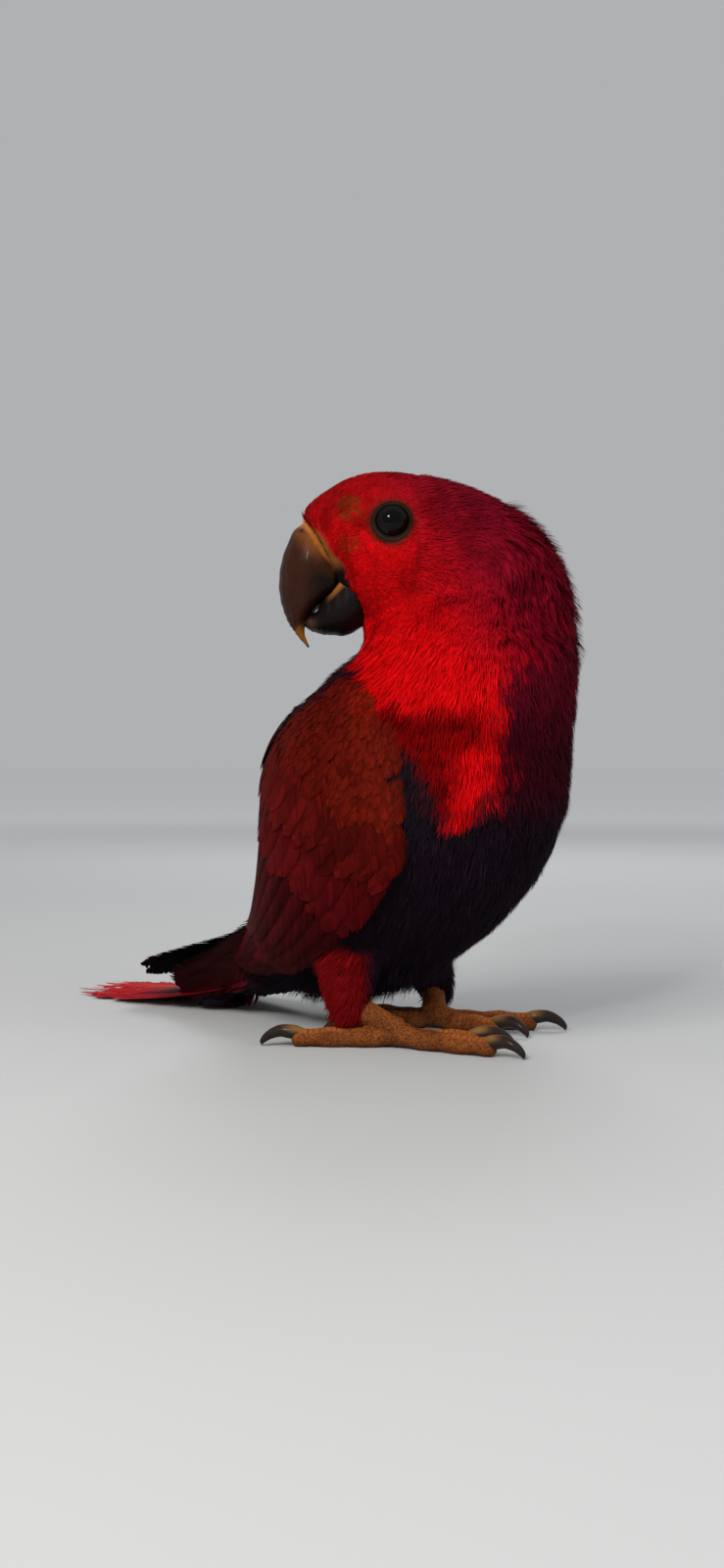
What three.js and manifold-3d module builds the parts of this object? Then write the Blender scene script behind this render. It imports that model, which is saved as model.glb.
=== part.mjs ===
// Female eclectus parrot, life size, standing upright and looking back over its right shoulder.
// Millimetres. The trunk faces +X, its left side is +Y and +Z is up.
import * as THREE from "three";
import { mergeVertices } from "three/addons/utils/BufferGeometryUtils.js";
import Module from "manifold-3d";

const wasm = await Module();
wasm.setup();

const DEG = Math.PI / 180;
const GAP = 0.35; // clearance between neighbouring solids
const AROUND = 22; // corners of a body section
const COARSE = 0.09; // how far a solid's facets may stray when they are thinned out

// Pose
const HEAD_TURN = -135; // degrees about +Z from the trunk's heading
const HEAD_PIVOT = [10, 0]; // x, y of the head frame's origin
const FEET_TURN = 25; // the feet point left of the trunk's heading

// Trunk sections, neck base to vent: x, z, half depth, half width, y
const TRUNK = [
  [17, 119, 20, 20, 5],
  [13.5, 108, 36, 35, 3],
  [9, 93, 42.5, 40.5, 1],
  [3, 74, 45, 41.5, 0],
  [-9, 54, 39, 37.5, 0],
  [-23, 39, 30.5, 32, 0],
  [-37, 28, 22, 26, 0],
  [-50, 20.5, 12.5, 18, 0],
  [-60, 16, 6, 10, 0],
];

// Neck sections, bottom to top, leaning to the nape's side: x, z, half depth, half width, y
const NECK = [
  [13, 98, 38, 38, 1],
  [15.5, 110, 36, 35.5, 4],
  [15.8, 122, 33, 32.5, 7.6],
  [18, 134, 27.4, 27.4, 10.5],
  [19, 145, 19, 19, 12.5],
  [18, 152, 12, 12, 12.5],
  [17.5, 155, 5, 5, 12.5],
];

// Head sections in the head's own frame, nape to forehead: forward, z, half height, half width
const HEAD = [
  [-40, 126, 10, 10],
  [-35, 131.5, 18, 18],
  [-25, 138, 22.5, 22],
  [-14, 142, 25, 23],
  [-3, 145.7, 25.3, 22.5],
  [9, 148.4, 25, 21.5],
  [18, 149.5, 24, 20],
  [27, 151, 21, 17.6],
  [34, 154, 14, 14.6],
  [39, 156.6, 8, 11],
  [42.3, 158, 3, 6],
];

// Envelope that the folded wings lie in, shoulder to tips: x, z, half depth, half width, y
const FOLDED = [
  [14.5, 112, 34, 34, 1],
  [9.2, 94, 41.5, 42.5, 0],
  [-0.5, 75, 47, 48.5, 0],
  [-12, 55, 42, 46, 0],
  [-28, 38.5, 31, 39, 0],
  [-49, 25.5, 18, 27, 0],
  [-71, 17, 9, 17, 0],
  [-93, 11.5, 4.5, 9, 0],
  [-110, 8, 2.5, 5, 0],
];

// Wing edges on that envelope, at its sections: lower and upper edge in degrees from the breast, thickness
const WING_EDGES = [
  [96, 128, 4],
  [64, 140, 6],
  [48, 150, 6.5],
  [49, 156, 6.5],
  [51, 162, 5.5],
  [60, 166, 4.5],
  [76, 168, 3.4],
  [86, 168, 2.4],
  [96, 168, 1.6],
];
const SHIELD = { from: 0.35, to: 6.2 }; // part of the envelope under the coverts and secondaries

// Long flight feathers past the shield, each a root, a knee and a tip
const PRIMARY = { width: 13, thickness: 1.7, lean: { right: 50, left: 35 } };
const PRIMARIES = {
  right: [
    [[-46, -20, 31], [-73, -18, 15], [-96, -17, 6.5]],
    [[-46, -15, 34], [-74, -14, 18], [-102, -13, 8]],
  ],
  left: [
    [[-46, 20, 33], [-74, 12, 17], [-99, 4, 9.5]],
    [[-46, 17, 35], [-78, 5, 20], [-107, -9, 12]],
    [[-46, 13, 38], [-80, 0, 23.5], [-114, -19, 12.5]],
  ],
};

// Tail's root under the coverts, base to tip: x, z, half thickness, half width, y
const TAIL_BASE = [
  [-40, 23, 10.5, 14, 0],
  [-54, 15.5, 7.5, 16, 0],
  [-68, 10, 5, 17, 0],
  [-82, 6.8, 3, 17, 0],
  [-94, 5, 1.6, 15, 0],
];
const RECTRICES = 7;
// Long tail feathers: their ends in x, size, degrees of fan and millimetres apart from one to the next, and how
// much shorter the outermost is
const RECTRIX = { from: -58, to: -152, width: 12, thickness: 1.7, fan: 2.5, spacing: 3, shorter: 6 };

// Upper bill sections about one centre: angle above forward, inner radius, outer radius, half width
const BILL_CENTRE = [29, 139];
const UPPER_BILL = [
  [68, 7, 22.2, 6],
  [50, 4, 22.2, 9.3],
  [30, 3, 20.9, 10.3],
  [8, 2.5, 20.1, 10.1],
  [-12, 3.5, 20.2, 9.3],
  [-26, 6.5, 20.5, 8],
  [-37, 13.2, 20.9, 5.8],
  [-47, 18.2, 21.4, 3.3],
  [-56, 20.9, 22.1, 1.5],
  [-60, 21.9, 22.6, 0.7],
];
// Lower bill sections, base to tip: forward, z, half height, half width
const LOWER_BILL = [
  [21, 134.5, 6, 7],
  [25, 133.8, 8.4, 9],
  [29, 131.3, 7.5, 9.3],
  [33, 129.2, 5.7, 8.8],
  [36.5, 127.9, 4, 7.4],
  [39.5, 127.5, 2.4, 5.2],
  [41.8, 127.6, 0.9, 2.3],
];

const EYE = { forward: 15, z: 155.4, out: 15, radius: 6.2 };

// Legs: hub is where the toes meet; the thigh's middle is x, y
const FEET = {
  right: { hub: [10, -19], side: -1, thigh: [-5, -25] },
  left: { hub: [-6, 15], side: 1, thigh: [-15, 22] },
};
// Toes: angle from the foot's heading towards the foot's outer side
const TOES = [
  { name: "outer_front", angle: 11, length: 31, radius: 3.3 },
  { name: "inner_front", angle: -17, length: 24, radius: 3.1 },
  { name: "outer_hind", angle: 163, length: 30, radius: 3.2 },
  { name: "inner_hind", angle: 196, length: 19, radius: 2.9 },
];
const PAD_FLAT = 0.5; // how much of a pad is pressed flat by the ground
const CLAW = { rise: 3.7, reach: 9.5, base: 2.2 };

// Materials
function finish(color, roughness) {
  return new THREE.MeshStandardMaterial({ color, roughness, metalness: 0 });
}
const scarlet = finish(0xb01012, 0.8);
const maroon = finish(0x6a1418, 0.75);
const violet = finish(0x1b1430, 0.8);
const darkBill = finish(0x2e2320, 0.35);
const darkEye = finish(0x0b0808, 0.08);
const scaledSkin = finish(0x8a6230, 0.6);
const horn = finish(0x2a2422, 0.35);

// Value of each column of a table at section t, on a smooth curve through the rows
function at(rows, t) {
  const last = rows.length - 1;
  const k = Math.min(Math.max(Math.floor(t), 0), last - 1);
  const f = Math.min(Math.max(t - k, 0), 1);
  const row = (n) => rows[Math.min(Math.max(n, 0), last)];
  return rows[k].map((_, c) => {
    const [p0, p1, p2, p3] = [row(k - 1)[c], row(k)[c], row(k + 1)[c], row(k + 2)[c]];
    return p1 + 0.5 * f * (p2 - p0 + f * (2 * p0 - 5 * p1 + 4 * p2 - p3 + f * (3 * (p1 - p2) + p3 - p0)));
  });
}

// Closed geometry through rings of equal count, with a fan at each end
function loft(rings) {
  const n = rings[0].length;
  const points = rings.flat();
  const faces = [];
  for (let r = 0; r + 1 < rings.length; r++) {
    for (let i = 0; i < n; i++) {
      const a = r * n + i;
      const b = r * n + ((i + 1) % n);
      faces.push(a, b, b + n, a, b + n, a + n);
    }
  }
  for (const [r, turned] of [[0, true], [rings.length - 1, false]]) {
    const middle = points.length;
    points.push(rings[r].reduce((s, p) => s.add(p), new THREE.Vector3()).divideScalar(n));
    for (let i = 0; i < n; i++) {
      const a = r * n + i;
      const b = r * n + ((i + 1) % n);
      faces.push(...(turned ? [b, a, middle] : [a, b, middle]));
    }
  }
  const g = new THREE.BufferGeometry().setFromPoints(points);
  g.setIndex(faces);
  return facingOut(g);
}

// The geometry with its faces turned round if they point inwards
function facingOut(g) {
  const p = g.attributes.position;
  const index = Array.from(g.index.array);
  const [a, b, c] = [0, 1, 2].map(() => new THREE.Vector3());
  let volume = 0;
  for (let i = 0; i < index.length; i += 3) {
    a.fromBufferAttribute(p, index[i]);
    b.fromBufferAttribute(p, index[i + 1]);
    c.fromBufferAttribute(p, index[i + 2]);
    volume += a.dot(b.cross(c));
  }
  if (volume < 0) index.reverse();
  g.setIndex(index);
  return g;
}

// Ring of points on a superellipse about a centre
function ring(centre, e1, e2, half1, half2, power = 2, count = AROUND) {
  return Array.from({ length: count }, (_, i) => {
    const angle = (2 * Math.PI * i) / count;
    const [c, s] = [Math.cos(angle), Math.sin(angle)];
    const round = (v) => Math.sign(v) * Math.abs(v) ** (2 / power);
    return centre.clone().addScaledVector(e1, half1 * round(c)).addScaledVector(e2, half2 * round(s));
  });
}

// Centre and directions of a section at t of a table in the middle plane
function sectionFrame(rows, t) {
  const step = 0.02;
  const [x0, z0] = at(rows, t - step);
  const [x1, z1] = at(rows, t + step);
  const along = new THREE.Vector3(x1 - x0, 0, z1 - z0).normalize();
  const [x, z, deep, wide, y] = at(rows, t);
  return {
    centre: new THREE.Vector3(x, y, z),
    along,
    breast: new THREE.Vector3(-along.z, 0, along.x),
    deep,
    wide,
  };
}

// Body of sections at right angles to its own centre line
function bodyOf(rows, { steps = 1.5, grow = 0, power = 2.1, count = AROUND } = {}) {
  const side = new THREE.Vector3(0, -1, 0);
  const rings = [];
  const last = (rows.length - 1) * steps;
  for (let i = 0; i <= last; i++) {
    const f = sectionFrame(rows, i / steps);
    f.centre.addScaledVector(f.along, grow * (i === last) - grow * (i === 0));
    rings.push(ring(f.centre, f.breast, side, f.deep + grow, f.wide + grow, power, count));
  }
  return solid(loft(rings));
}

// Body of upright sections along the head frame's forward axis
function headBody(rows, { steps = 1.5, grow = 0, power = 2, count = AROUND } = {}) {
  const up = new THREE.Vector3(0, 0, 1);
  const side = new THREE.Vector3(0, 1, 0);
  const rings = [];
  const last = (rows.length - 1) * steps;
  for (let i = 0; i <= last; i++) {
    const [x, z, high, wide] = at(rows, i / steps);
    const forward = x + grow * (i === last) - grow * (i === 0);
    rings.push(ring(new THREE.Vector3(forward, 0, z), up, side, high + grow, wide + grow, power, count));
  }
  return solid(inHeadFrame(loft(rings)));
}

function inHeadFrame(geometry) {
  return geometry.rotateZ(HEAD_TURN * DEG).translate(HEAD_PIVOT[0], HEAD_PIVOT[1], 0);
}

function solid(geometry) {
  const bare = geometry.clone();
  bare.deleteAttribute("normal");
  bare.deleteAttribute("uv");
  const merged = mergeVertices(bare, 1e-4);
  return new wasm.Manifold(
    new wasm.Mesh({
      numProp: 3,
      vertProperties: new Float32Array(merged.attributes.position.array),
      triVerts: new Uint32Array(merged.index.array),
    }),
  );
}

function join(pieces) {
  return pieces.reduce((a, b) => a.add(b));
}

// The largest body of a solid, so that a cut leaves no loose crumbs
function largest(made) {
  return made.decompose().sort((a, b) => b.volume() - a.volume())[0];
}

const group = new THREE.Group();

function place(name, made, material) {
  const m = largest(made.simplify(COARSE)).getMesh();
  const vertices = new Float32Array(m.numVert * 3);
  for (let i = 0; i < m.numVert; i++) {
    vertices.set(m.vertProperties.subarray(i * m.numProp, i * m.numProp + 3), i * 3);
  }
  const g = new THREE.BufferGeometry();
  g.setAttribute("position", new THREE.BufferAttribute(vertices, 3));
  g.setIndex(new THREE.BufferAttribute(new Uint32Array(m.triVerts), 1));
  g.computeVertexNormals();
  const mesh = new THREE.Mesh(g, material);
  mesh.name = name;
  group.add(mesh);
}

// Upper and lower bill, curved about the bill's centre
function upperBill(grow = 0) {
  const [cx, cz] = BILL_CENTRE;
  const rings = [];
  const last = UPPER_BILL.length - 1;
  const steps = 12;
  for (let i = 0; i <= steps; i++) {
    const [angle, inner, outer, wide] = at(UPPER_BILL, (i * last) / steps);
    const out = new THREE.Vector3(Math.cos(angle * DEG), 0, Math.sin(angle * DEG));
    const centre = new THREE.Vector3(cx, 0, cz).addScaledVector(out, (inner + outer) / 2);
    const half = (outer - inner) / 2;
    rings.push(ring(centre, out, new THREE.Vector3(0, 1, 0), half + grow, wide + grow, 2.3, 14));
  }
  return solid(inHeadFrame(loft(rings)));
}

function lowerBill(grow = 0) {
  return headBody(LOWER_BILL, { grow, power: 2.3, count: 14 });
}

function eye(side, grow = 0) {
  const ball = new THREE.SphereGeometry(EYE.radius + grow, 12, 8);
  ball.translate(EYE.forward, side * EYE.out, EYE.z);
  return solid(inHeadFrame(ball));
}

// Point of the folded wings' envelope: section t, degrees from the breast towards the side's back
function folded(t, degrees, side, inward = 0) {
  const f = sectionFrame(FOLDED, t);
  const [deep, wide] = [Math.max(f.deep - inward, 0.3), Math.max(f.wide - inward, 0.3)];
  return f.centre
    .clone()
    .addScaledVector(f.breast, deep * Math.cos(degrees * DEG))
    .addScaledVector(new THREE.Vector3(0, side, 0), wide * Math.sin(degrees * DEG));
}

// Shield of the closed wing on the envelope, grown for its recess and reaching out of the flesh by `over`
function shield(side, grow = 0, over = grow) {
  const steps = 11;
  const cross = 5;
  const rings = [];
  const [from, to] = [SHIELD.from - grow / 18, SHIELD.to + grow / 18];
  for (let i = 0; i <= steps; i++) {
    const t = from + ((to - from) * i) / steps;
    const [low, high, thick] = at(WING_EDGES, t);
    const tip = THREE.MathUtils.smoothstep(t, to - 1.5, to);
    const bend = 1 - THREE.MathUtils.smoothstep(t, from, from + 0.5);
    const narrow = 1 - 0.75 * tip - 0.5 * bend;
    const margin = grow / (at(FOLDED, t)[3] * DEG);
    const [middle, half] = [(low + high) / 2, ((high - low) / 2) * narrow + margin];
    const outer = [];
    const inner = [];
    for (let k = 0; k <= cross; k++) {
      const share = k / cross;
      const degrees = middle + half * (2 * share - 1);
      const body = 0.4 + 0.6 * Math.sin(Math.PI * share) ** 0.7;
      outer.push(folded(t, degrees, side, -over));
      inner.unshift(folded(t, degrees, side, thick * body + grow));
    }
    rings.push([...outer, ...inner]);
  }
  return solid(loft(rings));
}

// Flight feather through a root, a knee and a tip; its face leans out to the bird's right or left
function blade(stations, lean, width, thickness) {
  const curve = new THREE.CatmullRomCurve3(stations.map((p) => new THREE.Vector3(...p)));
  const steps = 7;
  const rings = [];
  for (let i = 0; i <= steps; i++) {
    const share = i / steps;
    const along = curve.getTangent(share);
    const level = new THREE.Vector3(-along.y, along.x, 0).normalize();
    const flat = level.applyAxisAngle(along, lean * DEG);
    const up = new THREE.Vector3().crossVectors(along, flat);
    const half = (width / 2) * Math.sqrt(Math.max(1 - share ** 6, 0.04));
    rings.push(ring(curve.getPoint(share), flat, up, half, thickness / 2, 3, 6));
  }
  return solid(loft(rings));
}

function blades(sideName, grow = 0) {
  const { width, thickness, lean } = PRIMARY;
  return join(PRIMARIES[sideName].map((p) => blade(p, lean[sideName], width + 2 * grow, thickness + 2 * grow)));
}

// Closed wing: the shield of coverts and the long flight feathers that reach past it
function wing(sideName) {
  return blades(sideName).add(shield(sideName === "right" ? -1 : 1));
}

// Tail laid on the ground: a root under the coverts and a shallow fan of long feathers
function tail(grow = 0) {
  const feathers = [bodyOf(TAIL_BASE, { power: 2.4, count: 14, grow })];
  const half = (RECTRICES - 1) / 2;
  for (let i = 0; i < RECTRICES; i++) {
    const off = i - half;
    const length = RECTRIX.from - RECTRIX.to - RECTRIX.shorter * (Math.abs(off) / half) ** 2;
    const rings = [];
    const steps = 5;
    for (let k = 0; k <= steps; k++) {
      const share = k / steps;
      const blunt = Math.sqrt(Math.max(1 - share ** 7, 0.04)) * (0.72 + 0.28 * share);
      const height = 12.5 * (1 - share) ** 1.9 + 0.75 + 0.5 * (half - Math.abs(off));
      rings.push(
        ring(
          new THREE.Vector3(-length * share, 0, height),
          new THREE.Vector3(0, 0, 1),
          new THREE.Vector3(0, 1, 0),
          RECTRIX.thickness / 2 + grow,
          (RECTRIX.width / 2) * blunt + grow,
          3,
          6,
        ),
      );
    }
    const turn = -off * RECTRIX.fan * DEG;
    const vane = loft(rings).rotateZ(turn).translate(RECTRIX.from, off * RECTRIX.spacing, 0);
    feathers.push(solid(vane));
  }
  return join(feathers);
}

// Feathered thigh: an egg that hangs from the flank
function thigh(foot, grow = 0) {
  const [x, y] = foot.thigh;
  const rows = [[30, 10, 9.5], [24, 10.5, 9.8], [17, 9.8, 9], [10, 7.6, 7.2], [5.5, 5, 5]];
  const rings = rows.map(([z, deep, wide]) =>
    ring(
      new THREE.Vector3(x + (17 - z) * 0.25, y - foot.side * (z - 17) * 0.2, z),
      new THREE.Vector3(1, 0, 0), new THREE.Vector3(0, 1, 0), deep + grow, wide + grow, 2, 12,
    ),
  );
  return solid(loft(rings));
}

// Direction of a toe on the ground; outer toes lie on the foot's own side
function toeDirection(foot, toe) {
  const angle = (FEET_TURN + foot.side * toe.angle) * DEG;
  return new THREE.Vector3(Math.cos(angle), Math.sin(angle), 0);
}

function tubeAlong(points, radii, count = 8, finer = 2) {
  const curve = new THREE.CatmullRomCurve3(points);
  const steps = (points.length - 1) * finer;
  const rings = [];
  for (let i = 0; i <= steps; i++) {
    const t = i / steps;
    const along = curve.getTangent(t);
    const side = new THREE.Vector3(-along.y, along.x, 0).normalize();
    const up = new THREE.Vector3().crossVectors(along, side);
    const k = t * (radii.length - 1);
    const low = Math.min(Math.floor(k), radii.length - 2);
    const r = THREE.MathUtils.lerp(radii[low], radii[low + 1], k - low);
    rings.push(ring(curve.getPoint(t), side, up, r, r, 2, count));
  }
  return solid(loft(rings));
}

// Bare foot: four toes from the hub and the short shank up to the thigh
function bareFoot(foot) {
  const hub = new THREE.Vector3(foot.hub[0], foot.hub[1], 4.6);
  const pieces = TOES.map((toe) => {
    const d = toeDirection(foot, toe);
    const r = toe.radius;
    const points = [0, 0.22, 0.45, 0.66, 0.86, 1].map((share) =>
      hub.clone().setZ(r - PAD_FLAT + (share === 0 ? 1.2 : 0)).addScaledVector(d, toe.length * share),
    );
    return tubeAlong(points, [1.15, 1.03, 0.9, 1, 0.95, 0.7].map((size) => r * size), 7, 1);
  });
  const knee = new THREE.Vector3(foot.thigh[0] + 2, foot.thigh[1], 12);
  pieces.push(tubeAlong([hub, hub.clone().lerp(knee, 0.5), knee], [4.6, 4, 4.4], 6, 1));
  return join(pieces).trimByPlane([0, 0, 1], 0);
}

function clawRoot(foot, toe) {
  const root = new THREE.Vector3(foot.hub[0], foot.hub[1], CLAW.rise);
  return root.addScaledVector(toeDirection(foot, toe), toe.length + 0.6);
}

// Claw: a horn that leaves the toe level, arches and comes down to the ground
function claw(foot, toe) {
  const d = toeDirection(foot, toe);
  const size = toe.length > 22 ? 1 : 0.8;
  const shape = [[-3, 0], [0, 0.5], [0.42, 0.9], [0.78, -0.3], [1, -2.1], [1.03, -3.4]];
  const points = shape.map(([out, up], i) =>
    clawRoot(foot, toe)
      .addScaledVector(d, i === 0 ? out : out * CLAW.reach * size)
      .add(new THREE.Vector3(0, 0, up)),
  );
  return tubeAlong(points, [1.6, CLAW.base, 1.9, 1.45, 0.95, 0.45], 6, 1.6).trimByPlane([0, 0, 1], 0.15);
}

// Clearance round the claw's root, for its socket in the toe
function clawSocket(foot, toe) {
  const d = toeDirection(foot, toe);
  const points = [[-3.4, 0], [0, 0.5], [4, 0.9]].map(([out, up]) =>
    clawRoot(foot, toe).addScaledVector(d, out).add(new THREE.Vector3(0, 0, up)),
  );
  return tubeAlong(points, [1.6 + GAP, CLAW.base + GAP * 1.5, 2.3 + GAP], 5, 1);
}

// Whole flesh, parted with thin cuts
const billSpace = join([upperBill(GAP), lowerBill(GAP)]);
const eyeSpace = join([eye(1, GAP), eye(-1, GAP)]);
const recess = join([shield(1, GAP, 4), shield(-1, GAP, 4)]);
const flesh = join([bodyOf(TRUNK), bodyOf(NECK), headBody(HEAD)])
  .subtract(eyeSpace)
  .subtract(billSpace)
  .subtract(recess);
const fleshSpace = join([bodyOf(TRUNK, { grow: GAP }), bodyOf(NECK, { grow: GAP }), headBody(HEAD, { grow: GAP })]);

// Both sides of a cut through a point, with half the gap taken from each
function part(made, normal, point) {
  const n = normal.clone().normalize();
  const level = n.dot(point);
  const above = made.trimByPlane([n.x, n.y, n.z], level + GAP / 2);
  const below = made.trimByPlane([-n.x, -n.y, -n.z], -level + GAP / 2);
  return [above, below];
}

const headForward = new THREE.Vector3(Math.cos(HEAD_TURN * DEG), Math.sin(HEAD_TURN * DEG), 0);
const jaw = new THREE.Vector3(HEAD_PIVOT[0], HEAD_PIVOT[1], 119).addScaledVector(headForward, 26);
const [head, belowHead] = part(flesh, new THREE.Vector3(0, 0, 0.93).addScaledVector(headForward, 0.36), jaw);
const [neck, trunk] = part(belowHead, new THREE.Vector3(-0.1, 0, 1), new THREE.Vector3(14, 0, 105));

place("head", head, scarlet);
place("neck", neck, scarlet);
place("trunk", trunk, violet);
place("upper_bill", upperBill().subtract(lowerBill(GAP)), darkBill);
place("lower_bill", lowerBill(), darkBill);
place("eye_left", eye(1), darkEye);
place("eye_right", eye(-1), darkEye);
place("tail", tail().trimByPlane([0, 0, 1], 0).subtract(fleshSpace), maroon);

const tailSpace = tail(GAP);
for (const [sideName, foot] of Object.entries(FEET)) {
  const { side } = foot;
  let long = blades(sideName).subtract(fleshSpace);
  if (side < 0) long = long.subtract(blades("left", GAP)).subtract(shield(1, GAP));
  else long = long.subtract(shield(-1, GAP));
  place(`wing_${sideName}`, shield(side).add(long).subtract(tailSpace), maroon);
  place(`thigh_${sideName}`, thigh(foot).subtract(fleshSpace).subtract(shield(side, GAP)), scarlet);
  const bare = bareFoot(foot).subtract(thigh(foot, GAP)).subtract(fleshSpace);
  place(`foot_${sideName}`, TOES.reduce((made, toe) => made.subtract(clawSocket(foot, toe)), bare), scaledSkin);
  for (const toe of TOES) place(`claw_${sideName}_${toe.name}`, claw(foot, toe), horn);
}

// The row's origin is the middle of the box's base
const box = new THREE.Box3().setFromObject(group);
const middle = box.getCenter(new THREE.Vector3());
for (const mesh of group.children) mesh.position.set(-middle.x, -middle.y, -box.min.z);
group.updateMatrixWorld(true);

export default group;
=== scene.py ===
# Female eclectus parrot, life size: one skin under tufts and feathers, with bill, eyes, feet and claws.
# Shapes are worked out in millimetres in the bird's own frame, with the trunk facing +X and its left side +Y.
import math

import bmesh
import bpy
import numpy as np
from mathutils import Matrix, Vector, noise
from mathutils.bvhtree import BVHTree


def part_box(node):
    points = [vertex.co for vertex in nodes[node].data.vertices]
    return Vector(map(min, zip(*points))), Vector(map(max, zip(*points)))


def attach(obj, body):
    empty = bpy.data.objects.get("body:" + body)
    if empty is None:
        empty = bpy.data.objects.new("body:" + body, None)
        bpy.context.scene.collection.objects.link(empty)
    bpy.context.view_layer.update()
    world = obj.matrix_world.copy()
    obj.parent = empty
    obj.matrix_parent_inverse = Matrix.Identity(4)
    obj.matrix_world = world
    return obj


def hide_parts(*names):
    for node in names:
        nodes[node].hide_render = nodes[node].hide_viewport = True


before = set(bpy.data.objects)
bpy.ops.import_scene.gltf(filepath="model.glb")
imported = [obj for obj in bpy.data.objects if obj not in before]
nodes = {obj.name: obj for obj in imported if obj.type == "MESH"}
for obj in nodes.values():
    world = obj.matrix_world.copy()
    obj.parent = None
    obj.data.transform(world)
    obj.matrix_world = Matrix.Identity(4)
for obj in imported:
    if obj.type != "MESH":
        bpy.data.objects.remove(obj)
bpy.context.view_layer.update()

MM = 0.001
DEG = math.pi / 180
UP = np.array([0.0, 0.0, 1.0])

# Pose
HEAD_TURN = -135  # degrees about +Z from the trunk's heading
HEAD_PIVOT = (10, 0)
FEET_TURN = 25

# Trunk sections, neck base to vent: x, z, half depth, half width, y
TRUNK = [
    [17, 119, 20, 20, 5], [13.5, 108, 36, 35, 3], [9, 93, 42.5, 40.5, 1], [3, 74, 45, 41.5, 0],
    [-9, 54, 39, 37.5, 0], [-23, 39, 30.5, 32, 0], [-37, 28, 22, 26, 0], [-50, 20.5, 12.5, 18, 0],
    [-60, 16, 6, 10, 0],
]
# Envelope of the folded wings, shoulder to tips: x, z, half depth, half width, y
FOLDED = [
    [14.5, 112, 34, 34, 1], [9.2, 94, 41.5, 42.5, 0], [-0.5, 75, 47, 48.5, 0], [-12, 55, 42, 46, 0],
    [-28, 38.5, 31, 39, 0], [-49, 25.5, 18, 27, 0], [-71, 17, 9, 17, 0], [-93, 11.5, 4.5, 9, 0],
    [-110, 8, 2.5, 5, 0],
]
# Wing edges on that envelope: lower and upper edge in degrees from the breast
WING_EDGES = [
    [96, 128], [64, 140], [48, 150], [49, 156], [51, 162], [60, 166], [76, 168], [86, 168], [96, 168],
]
SHIELD_FROM, SHIELD_TO = 0.35, 6.2
# Long flight feathers, each a root, a knee and a tip
PRIMARIES = {
    "right": [
        [[-46, -20, 31], [-73, -18, 15], [-96, -17, 6.5]],
        [[-46, -15, 34], [-74, -14, 18], [-102, -13, 8]],
    ],
    "left": [
        [[-46, 20, 33], [-74, 12, 17], [-99, 4, 9.5]],
        [[-46, 17, 35], [-78, 5, 20], [-107, -9, 12]],
        [[-46, 13, 38], [-80, 0, 23.5], [-114, -19, 12.5]],
    ],
}
PRIMARY_LEAN = {"right": 50, "left": 35}
SIDES = {"right": -1, "left": 1}

# Bill: sections about one centre as angle above forward, inner radius, outer radius, half width
BILL_CENTRE = (29, 139)
UPPER_BILL = [
    [68, 7, 22.2, 6], [50, 4, 22.2, 9.3], [30, 3, 20.9, 10.3], [8, 2.5, 20.1, 10.2], [-12, 2.5, 20.2, 9.8],
    [-26, 3.5, 20.5, 9.2], [-35, 6, 20.9, 7.8], [-41.5, 12.8, 21.1, 5.2], [-47, 18.2, 21.4, 3.3],
    [-56, 20.9, 22.1, 1.5], [-60, 21.9, 22.6, 0.7],
]
# Lower bill, base to tip: forward, z, half height, half width
LOWER_BILL = [
    [21, 134.5, 6, 7], [25, 134, 8.8, 9], [29, 131.8, 8.6, 9.1], [33, 129.6, 6.2, 8.2],
    [35.6, 128.6, 5.1, 7.2], [37.7, 127.1, 3, 5.9], [39.5, 127.2, 2.5, 4.6], [41.8, 127.4, 0.9, 2.3],
]
EYE_FORWARD, EYE_OUT, EYE_Z, EYE_RADIUS = 15, 15, 155.4, 6.2

# Legs: hub is where the toes meet, the thigh's middle is x, y, and red is where its red starts, outwards
FEET = {
    "right": {"hub": (10, -19), "side": -1, "thigh": (-5, -25), "red": (-8, -2)},
    "left": {"hub": (-6, 15), "side": 1, "thigh": (-15, 22), "red": (2, 7)},
}
# Toes: angle from the foot's heading towards the foot's outer side, length, radius
TOES = {
    "outer_front": (11, 31, 3.3),
    "inner_front": (-17, 24, 3.1),
    "outer_hind": (163, 30, 3.2),
    "inner_hind": (196, 19, 2.9),
}
PAD_FLAT = 0.5
CLAW_RISE, CLAW_REACH, CLAW_BASE = 3.7, 9.5, 2.2

# Tail laid on the ground
TAIL_FROM, TAIL_LENGTH, TAIL_SHORTER, TAIL_SPREAD, TAIL_SPACING = -58, 94, 6, 2.5, 3

# Where the feathers stop at the bill: height and reach forward, in the head's own frame
FEATHER_LINE = np.array([
    [118, 24.5], [125, 24], [131, 24.5], [138, 26.5], [143.4, 28.5], [147, 32], [150.7, 34], [154, 36.5],
    [157.5, 42.5], [160, 60],
])

FLESH = ["head", "neck", "trunk", "thigh_left", "thigh_right", "wing_left", "wing_right", "tail"]


def srgb(red, green, blue):
    """Linear colour from the usual 0 to 255 values"""
    share = np.array([red, green, blue]) / 255
    return np.where(share <= 0.04045, share / 12.92, ((share + 0.055) / 1.055) ** 2.4)


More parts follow.
